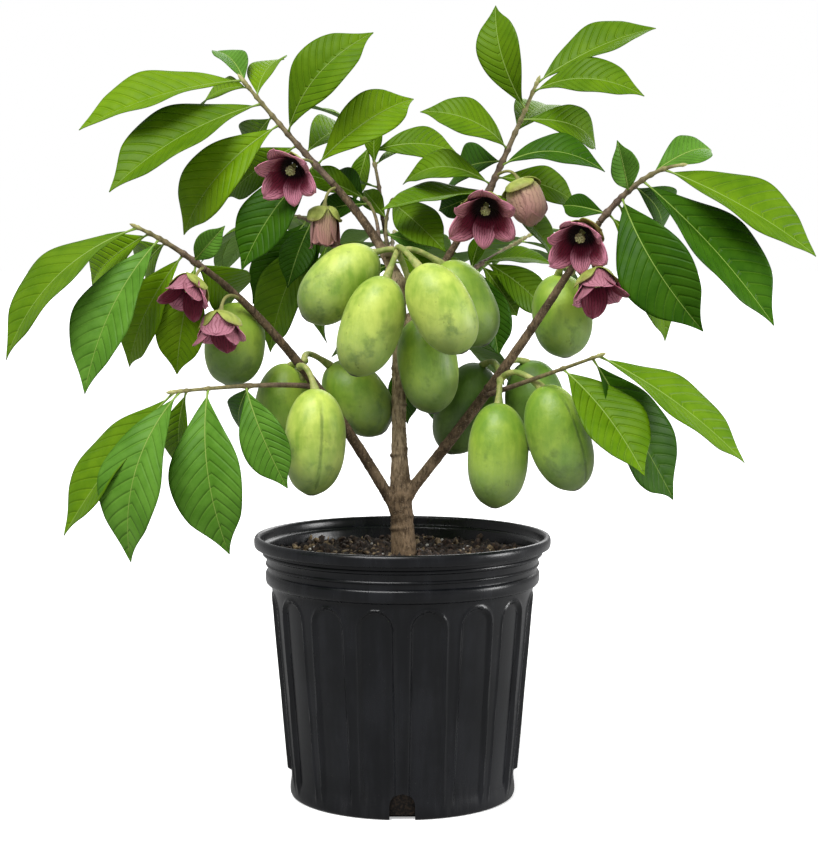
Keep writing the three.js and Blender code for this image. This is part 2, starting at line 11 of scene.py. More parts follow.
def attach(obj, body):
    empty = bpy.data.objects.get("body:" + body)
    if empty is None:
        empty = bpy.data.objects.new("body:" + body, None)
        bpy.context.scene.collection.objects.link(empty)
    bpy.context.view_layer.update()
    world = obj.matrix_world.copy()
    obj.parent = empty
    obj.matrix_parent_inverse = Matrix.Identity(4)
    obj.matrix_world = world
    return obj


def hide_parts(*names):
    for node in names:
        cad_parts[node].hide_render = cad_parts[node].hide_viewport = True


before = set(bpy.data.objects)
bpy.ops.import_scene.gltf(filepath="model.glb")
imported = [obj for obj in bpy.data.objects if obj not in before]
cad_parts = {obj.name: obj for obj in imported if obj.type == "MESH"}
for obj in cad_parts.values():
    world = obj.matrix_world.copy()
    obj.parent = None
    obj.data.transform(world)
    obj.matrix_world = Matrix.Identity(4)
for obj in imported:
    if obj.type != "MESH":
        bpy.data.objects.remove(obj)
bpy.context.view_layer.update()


# Nursery pot. Black polypropylene, blown thin with arched flutes that stiffen its wall, a bead and a rolled
# rim that nest into the next pot, and drain notches round its foot. Its profile is spun, the flutes are
# pressed in, and the notches are cut.

POT_TURNS = 720
POT_FOOT = 0.114
POT_SLOPE = 0.086
POT_WALL = 0.0045
FLUTES, FLUTE_HALF, FLUTE_TOP, FLUTE_DEPTH, FLUTE_STEP = 16, 0.0172, 0.2085, 0.0027, 0.0028
RIDGE_HEIGHT, RIDGE_HALF = 0.0012, 0.0012
NOTCH_HALF, NOTCH_HEIGHT, NOTCH_FROM, NOTCH_DEPTH = 0.0125, 0.027, 0.098, 0.03


def pot_radius(height):
    return POT_FOOT + POT_SLOPE * height


def meshed(name, body):
    """The bmesh as a mesh of that name. The bmesh is freed."""
    mesh = bpy.data.meshes.new(name)
    body.to_mesh(mesh)
    body.free()
    return mesh


def spun(name, profile, turns):
    """A closed body of the profile's radii and heights, spun round the upright axis."""
    body = bmesh.new()
    spots = [body.verts.new((radius, 0, height)) for radius, height in profile]
    edges = [body.edges.new(pair) for pair in zip(spots, spots[1:])]
    bmesh.ops.spin(body, geom=spots + edges, cent=(0, 0, 0), axis=(0, 0, 1), angle=2 * math.pi, steps=turns,
                   use_merge=True)
    bmesh.ops.remove_doubles(body, verts=body.verts, dist=1e-6)
    bmesh.ops.recalc_face_normals(body, faces=body.faces)
    return meshed(name, body)


def shown(name, mesh, *materials):
    """A mesh as an object in the scene, smooth but for its sharp corners."""
    piece = bpy.data.objects.new(name, mesh)
    bpy.context.scene.collection.objects.link(piece)
    for material in materials:
        mesh.materials.append(material)
    mesh.shade_smooth()
    return piece


def apply_modifiers(piece):
    shape = piece.evaluated_get(bpy.context.evaluated_depsgraph_get())
    mesh = bpy.data.meshes.new_from_object(shape)
    piece.modifiers.clear()
    piece.data = mesh


def smoothstep(low, high, value):
    """0 below low and 1 above high, with a soft step between them."""
    share = min(1.0, max(0.0, (value - low) / (high - low)))
    return share * share * (3 - 2 * share)


wall_rows = [*np.linspace(0.005, 0.03, 11), *np.linspace(0.037, 0.17, 20), *np.linspace(0.1715, 0.214, 29)]
pot_outside = [
    (0, 0), (0.06, 0), (0.108, 0), (0.1118, 0.0004), (0.1134, 0.0014), (0.1141, 0.0030),
    *((pot_radius(height), height) for height in wall_rows),
    (0.1330, 0.2155), (0.1362, 0.2168), (0.1378, 0.2185), (0.1385, 0.2208), (0.1386, 0.2250), (0.1385, 0.2276),
    (0.1379, 0.2290), (0.1369, 0.2298), (0.1362, 0.2304), (0.1360, 0.2316), (0.1363, 0.2330), (0.1366, 0.2352),
    (0.1380, 0.2359), (0.1385, 0.2369), (0.1382, 0.2379), (0.1374, 0.2387), (0.1376, 0.2410), (0.1382, 0.2444),
    (0.1390, 0.2452), (0.1406, 0.2458), (0.1415, 0.2466), (0.1417, 0.2476), (0.1412, 0.2488), (0.1407, 0.2494),
    (0.1408, 0.2522), (0.1422, 0.2530), (0.1476, 0.2533), (0.1490, 0.2540), (0.1497, 0.2554), (0.1500, 0.2580),
    (0.1500, 0.2608), (0.1494, 0.2632), (0.1482, 0.2646), (0.1466, 0.2650),
]
pot_inside = [
    (0.1446, 0.2645), (0.1434, 0.2630), (0.1428, 0.2608), (0.1424, 0.2572), (0.1414, 0.2556), (0.1388, 0.2548),
    (0.1372, 0.2538), (0.1364, 0.2518), (0.1350, 0.2420), (pot_radius(0.217) - POT_WALL, 0.217),
    (pot_radius(0.004) - POT_WALL, 0.004), (0, 0.004),
]
pot_mesh = spun("pot_body", pot_outside + pot_inside, POT_TURNS)
for vertex in pot_mesh.vertices:
    x, y, height = vertex.co
    radius = math.hypot(x, y)
    if radius < pot_radius(height) - 0.001 or not 0.004 < height < 0.2145:
        continue
    turn = math.atan2(x, -y) * FLUTES / (2 * math.pi)
    aside = abs(turn - math.floor(turn) - 0.5) * 2 * math.pi / FLUTES * radius
    spring = FLUTE_TOP - FLUTE_HALF
    inside_edge = FLUTE_HALF - math.hypot(aside, max(0.0, height - spring))
    pressed = FLUTE_DEPTH * smoothstep(0, FLUTE_STEP, inside_edge)
    ridge = RIDGE_HEIGHT * math.exp(-((inside_edge + 0.0011) / RIDGE_HALF) ** 2)
    inward = 1 - (pressed - ridge) * smoothstep(0.006, 0.024, height) / radius
    vertex.co *= Vector((inward, inward, 1))

# The four notches, each an upright arch that runs out through the wall.
notch_cutter = bmesh.new()
arch_turns = [math.pi * step / 12 for step in range(13)]
arch = [(-NOTCH_HALF, -0.001), (NOTCH_HALF, -0.001)]
arch += [(NOTCH_HALF * math.cos(turn), NOTCH_HEIGHT - NOTCH_HALF * (1 - math.sin(turn))) for turn in arch_turns]
for quarter in range(4):
    outline = [notch_cutter.verts.new((across, -NOTCH_FROM, height)) for across, height in arch]
    face = notch_cutter.faces.new(outline)
    pushed = bmesh.ops.extrude_face_region(notch_cutter, geom=[face])["geom"]
    moved = [part for part in pushed if isinstance(part, bmesh.types.BMVert)]
    bmesh.ops.translate(notch_cutter, verts=moved, vec=(0, -NOTCH_DEPTH, 0))
    bmesh.ops.rotate(notch_cutter, verts=outline + moved, cent=(0, 0, 0),
                     matrix=Matrix.Rotation(quarter * math.pi / 2, 3, "Z"))
bmesh.ops.recalc_face_normals(notch_cutter, faces=notch_cutter.faces)
cutter = bpy.data.objects.new("notch_cutter", meshed("notch_cutter", notch_cutter))
bpy.context.scene.collection.objects.link(cutter)


class Wire:
    """A value on its way through a material. Arithmetic on wires adds the Math nodes that work it out."""

    def __init__(self, tree, socket):
        self.tree, self.socket = tree, socket

    def node(self, kind, settings=(), sockets=(), output=0):
        """Add a node. Its settings come first, and then the values or wires of its sockets."""
        node = self.tree.nodes.new(kind)
        for name, value in dict(settings).items():
            setattr(node, name, value)
        for name, value in dict(sockets).items():
            if isinstance(value, Wire):
                self.tree.links.new(value.socket, node.inputs[name])
            else:
                node.inputs[name].default_value = value
        return Wire(self.tree, node.outputs[output])

    def math(self, operation, *others):
        return self.node("ShaderNodeMath", {"operation": operation}, enumerate((self, *others)))

    def __rsub__(self, other):
        return self.node("ShaderNodeMath", {"operation": "SUBTRACT"}, {0: other, 1: self})

    __add__ = __radd__ = partialmethod(math, "ADD")
    __mul__ = __rmul__ = partialmethod(math, "MULTIPLY")
    __sub__ = partialmethod(math, "SUBTRACT")
    __abs__ = partialmethod(math, "ABSOLUTE")
    sine = partialmethod(math, "SINE")

    def between(self, low, high):
        """0 below low and 1 above high, with a soft step between them."""
        return self.node("ShaderNodeMapRange", {"interpolation_type": "SMOOTHSTEP"},
                         {"Value": self, "From Min": low, "From Max": high})

    def noise(self, scale, detail=3, roughness=0.55, stretch=(1, 1, 1)):
        """Cloudy numbers about a half, at so many to the metre on this place wire."""
        place = self.node("ShaderNodeMapping", {}, {"Vector": self, "Scale": stretch})
        return self.node("ShaderNodeTexNoise", {}, {"Vector": place, "Scale": scale, "Detail": detail,
                                                    "Roughness": roughness})

    def colour(self, low, high):
        """The colour low where this wire is 0, and high where it is 1."""
        low, high = (value if isinstance(value, Wire) else (*value, 1) for value in (low, high))
        return self.node("ShaderNodeMix", {"data_type": "RGBA"}, {0: self, 6: low, 7: high}, 2)


class Finish:
    """A material with its constant sockets set. place is the wire of the object's own coordinates."""

    def __init__(self, name, roughness=0.5, **constants):
        self.material = bpy.data.materials.new(name)
        self.material.use_nodes = True
        self.tree = self.material.node_tree
        self.shader = self.tree.nodes["Principled BSDF"]
        for socket, value in {"Roughness": roughness, **constants}.items():
            self.shader.inputs[socket].default_value = value
        self.place = Wire(self.tree, None).node("ShaderNodeTexCoord", output=3)

    def attribute(self, name):
        return self.place.node("ShaderNodeAttribute", {"attribute_name": name}, output=2)

    def feed(self, socket, wire):
        self.tree.links.new(wire.socket, self.shader.inputs[socket])

    def bump(self, height, distance, strength=1.0):
        raised = self.place.node(
            "ShaderNodeBump", {}, {"Height": height, "Distance": distance, "Strength": strength}
        )
        self.feed("Normal", raised)


plastic = Finish("black_plastic", **{"Specular IOR Level": 0.3})
clouds = plastic.place.noise(14, 4)
streaks = plastic.place.noise(60, 4, 0.65, (1, 1, 0.1))
specks = plastic.place.noise(420, 2, 0.6).between(0.72, 0.76)
height = plastic.place.node("ShaderNodeSeparateXYZ", {}, {0: plastic.place}, 2)
dust = (1 - height.between(0.0, 0.045)) * streaks.between(0.5, 0.75) * 0.06 + 0.09 * specks
worn = (0.5 * clouds + 0.5 * streaks).between(0.42, 0.62).colour(
    (0.0030, 0.0034, 0.0045), (0.0085, 0.0092, 0.0115)
)
plastic.feed("Base Color", dust.colour(worn, (0.16, 0.15, 0.135)))
# The inner face is smoother than the outer one, which takes the mould's grain.
outward = plastic.place.node("ShaderNodeVectorMath", {"operation": "MULTIPLY"}, {0: plastic.place, 1: (1, 1, 0)})
reach = plastic.place.node("ShaderNodeVectorMath", {"operation": "LENGTH"}, {0: outward}, 1)
outside = (reach - POT_SLOPE * height).between(POT_FOOT - 0.0035, POT_FOOT - 0.0015)
plastic.feed("Roughness", 0.14 + (0.11 * clouds + 0.14 * streaks) * outside)
plastic.bump(plastic.place.noise(900, 2) + 3 * streaks, 0.00012, 0.6)

pot = shown("pot_shell", pot_mesh, plastic.material)
cut = pot.modifiers.new("notches", "BOOLEAN")
cut.object, cut.operation, cut.solver = cutter, "DIFFERENCE", "EXACT"
apply_modifiers(pot)
bpy.data.objects.remove(cutter)
pot.data.set_sharp_from_angle(angle=math.radians(38))
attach(pot, "root")
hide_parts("pot")


# Potting mix. Composted bark and peat that lies to a finger's width below the rim, with coarser chips and
# white perlite on top. The body is spun and its top pushed into clods, and the bits are scattered on it by a
# seeded draw.

SOIL_TOP = 0.247
STEM_FOOT_X, STEM_CLEAR = 0.0015, 0.0145


def seeded(seed):
    """A run of numbers from 0 to 1 that is the same for the same seed, as the tree's own rule draws them."""
    state = seed * 7919 + 17
    while True:
        state = (state * 16807) % 2147483647
        yield state / 2147483647


def clod(x, y):
    """How far the mix stands above its level, in metres."""
    spot = Vector((x, y, 0))
    coarse = noise.noise(spot * 38) * 0.0045
    lumps = noise.turbulence(spot * 140, 3, False) * 0.0075
    mound = 0.004 * math.exp(-((math.hypot(x + 0.03, y + 0.01) / 0.035) ** 2))
    return coarse + lumps + mound - 0.005


soil_profile = [(0, SOIL_TOP)] + [(radius, SOIL_TOP) for radius in np.linspace(0.0025, 0.1355, 54)]
soil_profile += [(0.1278, 0.217), (0.1092, 0.0043), (0, 0.0043)]
soil_mesh = spun("soil_body", soil_profile, 180)
for vertex in soil_mesh.vertices:
    if vertex.co.z > SOIL_TOP - 0.001:
        vertex.co.z += clod(vertex.co.x, vertex.co.y)

mix = Finish("potting_mix", 0.95)
crumbs = mix.place.noise(380, 4, 0.7)
mix.feed("Base Color", crumbs.between(0.4, 0.75).colour((0.006, 0.004, 0.003), (0.07, 0.045, 0.028)))
mix.bump(crumbs, 0.0012, 0.9)
soil = shown("soil_body", soil_mesh, mix.material)
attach(soil, "root")
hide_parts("soil")


def mottled(name, roughness, scale, low, high, detail=3, span=None, grain=None, **constants):
    """A material clouded between two colours. grain is the scale and the depth of a bump."""
    skin = Finish(name, roughness, **constants)
    clouds = skin.place.noise(scale, detail)
    skin.feed("Base Color", (clouds.between(*span) if span else clouds).colour(low, high))
    if grain:
        skin.bump(skin.place.noise(grain[0]), grain[1])
    return skin.material


bark_chip = mottled("bark_chip", 0.85, 260, (0.010, 0.006, 0.004), (0.07, 0.042, 0.026), span=(0.35, 0.7))
pale_chip = mottled("pale_chip", 0.85, 260, (0.05, 0.03, 0.015), (0.30, 0.22, 0.12), span=(0.3, 0.7))
perlite = Finish("perlite", 0.9, **{"Base Color": (0.6, 0.58, 0.54, 1)})
perlite.bump(perlite.place.noise(900, 2), 0.0003)

# Each kind of bit: how many, its material, its least and greatest size, and how flat it is.
scatter = seeded(41)
chips = bmesh.new()
for count, kind, low, high, flat in ((420, 0, 0.0026, 0.0078, 0.5), (300, 1, 0.0018, 0.0062, 0.45),
                                     (60, 2, 0.0013, 0.0024, 0.9), (46, 1, 0.006, 0.012, 0.12)):
    for _ in range(count):
        reach, turn = 0.127 * math.sqrt(next(scatter)), 2 * math.pi * next(scatter)
        x, y = reach * math.cos(turn), reach * math.sin(turn)
        size = low + (high - low) * next(scatter) ** 2
        lie = Quaternion((next(scatter), next(scatter) - 0.5, next(scatter) - 0.5, 2 * next(scatter) - 1))
        if math.hypot(x - STEM_FOOT_X, y) < STEM_CLEAR:
            continue
        before = len(chips.faces)
        bit = bmesh.ops.create_icosphere(chips, subdivisions=1, radius=size)["verts"]
        bmesh.ops.scale(chips, verts=bit, vec=(1, (0.45 + 0.5 * next(scatter)) * min(1, 2 * flat), flat))
        bmesh.ops.rotate(chips, verts=bit, cent=(0, 0, 0), matrix=lie.normalized().to_matrix())
        bmesh.ops.translate(chips, verts=bit, vec=(x, y, SOIL_TOP + clod(x, y) + 0.25 * size))
        chips.faces.ensure_lookup_table()
        for face in chips.faces[before:]:
            face.material_index = kind
soil_bits = shown("soil_bits", meshed("soil_bits", chips), bark_chip, pale_chip, perlite.material)
soil_bits.data.set_sharp_from_angle(angle=math.radians(30))
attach(soil_bits, "root")


# Trunk and boughs. Thin grey-brown bark with warty pores, fine furrows and a ridge at each old leaf scar.
# Each limb is a bend through three places, swelling a little where it leaves its parent. They are grown
# together by a voxel skin, smoothed at the crotches and pushed out into bark.

BARK_VOXEL, BARK_SMOOTHINGS = 0.0011, 5


def mm(x, y, z):
    return Vector((x, y, z)) / 1000


class Limb:
    """A bend from one place over a second to a third, followed by share of its length, with radii in mm."""

    def __init__(self, start, bend, end, radii=(3.6, 1.7)):
        self.ends = start, bend, end
        self.radii = np.array(radii) / 1000
        turns = np.linspace(0, 1, 201)
        places = np.array([self.bend_at(turn) for turn in turns])
        self.run = np.concatenate([[0], np.cumsum(np.linalg.norm(np.diff(places, axis=0), axis=1))])
        self.turns = turns

    def bend_at(self, turn):
        start, bend, end = self.ends
        return start * (1 - turn) ** 2 + bend * (2 * turn * (1 - turn)) + end * turn**2

    def turn(self, share):
        return float(np.interp(share * self.run[-1], self.run, self.turns))

    def at(self, share):
        return self.bend_at(self.turn(share))

    def ahead(self, share):
        start, bend, end = self.ends
        turn = self.turn(share)
        return ((bend - start) * (1 - turn) + (end - bend) * turn).normalized()

    def radius(self, share):
        return float(np.interp(share, np.linspace(0, 1, len(self.radii)), self.radii))


TRUNK_FOOT, TRUNK_TIP = 243, 512
trunk = Limb(mm(1.5, 0, TRUNK_FOOT), mm(-7, 0, 380), mm(-2, 2, TRUNK_TIP),
             (13.8, 12, 11.6, 8.8, 7.8, 7.6, 7.4, 7.1, 6.8))


def on_trunk(height):
    return trunk.at((height - TRUNK_FOOT) / (TRUNK_TIP - TRUNK_FOOT))


boughs = {
    "bough_lower_left": Limb(on_trunk(280), mm(-102, -44, 466), mm(-190, -84, 534), (6.6, 6, 5.5, 4.6, 3.8)),
    "bough_lower_right": Limb(on_trunk(298), mm(116, -36, 446), mm(193, -50, 580), (6.6, 6, 5.5, 4.6, 3.8)),
    "bough_upper_right": Limb(on_trunk(462), mm(46, 14, 548), mm(86, 25, 608), (5.2, 4.4, 3.8)),
    "bough_upper_left": Limb(trunk.at(1), mm(-16, 8, 558), mm(-70, 30, 618), (6.6, 5.2, 4.2)),
    "bough_rear_right": Limb(on_trunk(478), mm(40, 50, 508), mm(66, 104, 526), (4.2, 3, 2.4)),
    "bough_rear_left": Limb(on_trunk(490), mm(-34, 50, 540), mm(-74, 104, 560), (4.4, 3.6, 3)),
    "bough_rear": Limb(on_trunk(440), mm(-4, 84, 478), mm(-10, 160, 520), (4.6, 3.8, 3)),
    "bough_rear_top": Limb(on_trunk(503), mm(-14, 60, 545), mm(-22, 106, 588), (4.2, 3.2, 2.6)),
}


def tubes(name, runs, sides):
    """Round tubes, each through a run of places with a radius at each, as one mesh with closed ends."""
    line = bpy.data.curves.new(name, "CURVE")
    line.dimensions, line.bevel_depth, line.use_fill_caps = "3D", 1, True
    line.bevel_resolution = sides // 2 - 2
    for run in runs:
        spline = line.splines.new("POLY")
        spline.points.add(len(run) - 1)
        for spot, (place, radius) in zip(spline.points, run):
            spot.co, spot.radius = (*place, 1), radius
    carrier = bpy.data.objects.new(name, line)
    bpy.context.scene.collection.objects.link(carrier)
    mesh = bpy.data.meshes.new_from_object(carrier.evaluated_get(bpy.context.evaluated_depsgraph_get()))
    bpy.data.objects.remove(carrier)
    body = bmesh.new()
    body.from_mesh(mesh)
    bmesh.ops.remove_doubles(body, verts=body.verts, dist=1e-6)
    bmesh.ops.recalc_face_normals(body, faces=body.faces)
    body.to_mesh(mesh)
    body.free()
    mesh.materials.clear()
    return mesh


def collar(limb, share):
    """How far a bough swells where it leaves its parent."""
    return 0 if limb is trunk else 0.0022 * math.exp(-((share * limb.run[-1] - 0.009) / 0.007) ** 2)


limbs = [trunk, *boughs.values()]
limb_runs = [
    [(limb.at(share), limb.radius(share) - 0.0004 + collar(limb, share)) for share in np.linspace(0, 1, 70)]
    for limb in limbs
]
wood = shown("trunk_and_boughs", tubes("trunk_and_boughs", limb_runs, 24))
skin = wood.modifiers.new("skin", "REMESH")
skin.mode, skin.voxel_size = "VOXEL", BARK_VOXEL
apply_modifiers(wood)
wood_skin = bmesh.new()
wood_skin.from_mesh(wood.data)
for _ in range(BARK_SMOOTHINGS):
    bmesh.ops.smooth_vert(wood_skin, verts=wood_skin.verts, factor=0.5, use_axis_x=True, use_axis_y=True,
                          use_axis_z=True)


def nearest(places, spots):
    """For each place, which of the spots is nearest to it. It goes part by part to spare memory."""
    return np.concatenate([
        np.argmin(((part[:, None] - spots[None]) ** 2).sum(axis=2), axis=1)
        for part in np.array_split(places, 40)
    ])


# Where each point of the skin lies along the nearest limb, so that scars ring it and furrows follow it.
axes = [(limb.at(share), share * limb.run[-1], number)
        for number, limb in enumerate(limbs) for share in np.linspace(0, 1, 90)]

# Old leaf scars on the trunk: height, the side that they look to, and how far they stand out.
SCARS = ((0.2705, 200, 1.4), (0.2835, 20, 1.3), (0.2925, 215, 1.2), (0.345, 190, 1.6), (0.352, 10, 1.0),
         (0.396, 340, 1.2), (0.433, 170, 1.0), (0.474, 30, 1.0))
skin_places = np.array([vertex.co for vertex in wood_skin.verts])
closest = nearest(skin_places, np.array([axis for axis, _, _ in axes]))
bough_layer = wood_skin.verts.layers.float.new("bough")
scar_layer = wood_skin.verts.layers.float.new("scar")
wood_skin.normal_update()
for vertex, near in zip(wood_skin.verts, closest):
    axis, run, number = axes[near]
    spot = vertex.co
    out = spot - axis
    around = math.atan2(out.y, out.x)
    lengthwise = Vector((around * 2.2, run * 26, number * 7.3))
    furrow = noise.turbulence(lengthwise * 2.4, 3, False) - 0.5
    pore = max(0.0, noise.noise(spot * 620) - 0.32)
    bump = 0.00022 * furrow + 0.0011 * pore + 0.0002 * noise.noise(spot * 150)
    if number:
        ringed = (run * 1000 + number * 9) % 37 - 18
        scar = math.exp(-((ringed / 1.7) ** 2)) * (0.6 + 0.4 * math.cos(around + number + run * 90))
        bump += 0.0006 * scar
    else:
        bump *= 1.7
        scar = 0
        for scar_height, side, stand in SCARS:
            off_side = (around - math.radians(side) + math.pi) % (2 * math.pi) - math.pi
            dip = 0.0012 * abs(off_side)
            facing = 0.3 + 0.7 * max(0.0, math.cos(off_side))
            scar += stand * facing * math.exp(-(((spot.z - scar_height - dip) / 0.0017) ** 2))
        bump += 0.0011 * scar
    vertex[bough_layer] = smoothstep(0.01, 0.07, run) if number else 0.0
    vertex[scar_layer] = scar
    vertex.co = spot + vertex.normal * bump
wood_skin.to_mesh(wood.data)
wood_skin.free()

# Darker at the trunk's foot as painted shade, light brown up the trunk as painted light, darker and warmer on
# the boughs, the darkness partly painted shade under the foliage, olive near the twigs.
bark = Finish("bark", **{"Specular IOR Level": 0.15})
reach = bark.place.node("ShaderNodeVectorMath", {"operation": "DISTANCE"}, {0: bark.place, 1: (0, 0, 0.27)}, 1)
blotch = 0.45 * bark.place.noise(60, 3) + 0.55 * bark.place.noise(330, 4, 0.65, (1, 1, 0.4))
grain = bark.place.noise(520, 4, 0.65, (1, 1, 0.22))
# Painted shade darkens the trunk's foot, and painted light lightens the trunk above it.
foot_painted_shade = blotch.between(0.4, 0.62).colour((0.070, 0.047, 0.027), (0.235, 0.162, 0.096))
stem_painted_light = blotch.between(0.38, 0.6).colour((0.225, 0.162, 0.095), (0.56, 0.43, 0.275))
trunk_painted_shade_and_light = reach.between(0.03, 0.1).colour(foot_painted_shade, stem_painted_light)
# The boughs' own warm brown, darkened in part as painted shade under the foliage.
young = blotch.between(0.4, 0.62).colour((0.060, 0.041, 0.023), (0.170, 0.116, 0.068))
green = blotch.between(0.36, 0.64).colour((0.085, 0.065, 0.025), (0.20, 0.155, 0.065))
aged = reach.between(0.33, 0.47).colour(bark.attribute("bough").colour(trunk_painted_shade_and_light, young), green)
pores = bark.place.noise(560, 1, 0.5, (1, 1, 1.6)).between(0.64, 0.7)
flecked = (pores * 0.5).colour(aged, (0.36, 0.28, 0.19))
dark = (1 - grain.between(0.32, 0.5)) * 0.7
scarred = (bark.attribute("scar") * 0.6).colour(flecked, (0.045, 0.030, 0.018))
bark.feed("Base Color", dark.colour(scarred, (0.03, 0.019, 0.012)))
bark.feed("Roughness", 0.6 + 0.25 * grain)
bark.bump(grain + 0.6 * pores, 0.0007, 0.8)
wood.data.materials.clear()
wood.data.materials.append(bark.material)
wood.data.shade_smooth()
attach(wood, "root")
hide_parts("trunk", *boughs)


# Twigs. The year's shoots, olive brown and greener to the tip, swollen at each leaf and ending in a naked
# bud. Each grows on from its bough by a bend. Its leaves are listed with it: where on the twig, heading in the
# front view, lean away from the viewer, length, how far they face the sky, and how high they arch.


def lerp(low, high, share):
    return low + (high - low) * share


def direction(heading, lean):
    """A way to point: heading 0 is right and 90 up in the front view, and lean is away from the viewer."""
    turn, tilt = math.radians(heading), math.radians(lean)
    return Vector((math.cos(turn) * math.cos(tilt), math.sin(tilt), math.sin(turn) * math.cos(tilt)))


def face_of(along, turn):
    """Where a leaf's upper side looks: to the front, turned by so many degrees towards the sky."""
    front = (Vector((0, -1, 0)) + along * along.y).normalized()
    sky = along.cross(front)
    if sky.z < 0:
        sky.negate()
    return front * math.cos(math.radians(turn)) + sky * math.sin(math.radians(turn))


def leaf(at, heading, lean, length, turn=30, arch=0.1):
    along = direction(heading, lean)
    return at, along, face_of(along, turn), length / 1000, arch


def grown(limb, start, end, count, length, seed):
    """Leaves that alternate along a stretch of the twig, spread less towards its tip and hang."""
    draw = seeded(seed)
    leaves = []
    for number in range(count):
        share = number / (count - 1)
        at = lerp(start, end, share)
        ahead = limb.ahead(at)
        aside = ahead.cross(Vector((0, 0, 1))).normalized()
        spread = math.radians(lerp(72, 30, share) + 14 * (next(draw) - 0.5))
        along = ahead * math.cos(spread) + aside * ((1 if number % 2 else -1) * math.sin(spread))
        along.z -= lerp(0.25, 0.8, next(draw))
        along.normalize()
        face = (Vector((0, 0, 1)) - along * along.z).normalized()
        leaves.append((at, along, face, length / 1000 * lerp(0.86, 1.08, next(draw)), 0.1))
    return leaves


def on_bough(name, share):
    return boughs[name].at(share)


twigs = {
    "upper_left": Limb(on_bough("bough_upper_left", 1), mm(-126, 48, 678), mm(-163, 58, 724), (4, 1.8)),
    "upper_right": Limb(on_bough("bough_upper_right", 1), mm(108, 34, 655), mm(136, 43, 720), (3.7, 1.8)),
    "lower_left": Limb(on_bough("bough_lower_left", 1), mm(-222, -97, 560), mm(-251, -110, 574), (3.6, 1.8)),
    "lower_right": Limb(on_bough("bough_lower_right", 1), mm(232, -58, 630), mm(268, -62, 634), (3.6, 1.8)),
    "low_left": Limb(on_bough("bough_lower_left", 0.5), mm(-124, -84, 426), mm(-213, -158, 421), (3.2, 1.6)),
    "low_right": Limb(on_bough("bough_lower_right", 0.4), mm(128, -84, 428), mm(185, -142, 454), (3.2, 1.6)),
    "inner": Limb(on_bough("bough_upper_left", 0.4), mm(-24, 44, 592), mm(-40, 62, 604), (2.4, 1.5)),
    "middle": Limb(on_trunk(507), mm(-26, 40, 566), mm(-12, 80, 600), (2.6, 1.5)),
    "rear_top": Limb(on_bough("bough_rear_top", 1), mm(-24, 150, 624), mm(-37, 172, 668), (2.5, 1.4)),
    "rear_left": Limb(on_bough("bough_rear_left", 1), mm(-102, 160, 596), mm(-142, 256, 584), (3, 1.6)),
    "rear_right": Limb(on_bough("bough_rear_right", 1), mm(92, 140, 542), mm(140, 240, 566), (2.6, 1.6)),
    "rear": Limb(on_bough("bough_rear", 1), mm(-14, 215, 558), mm(-10, 292, 570), (3, 1.6)),
    "rear_low": Limb(on_trunk(426), mm(24, 60, 468), mm(34, 150, 474), (3, 1.6)),
}
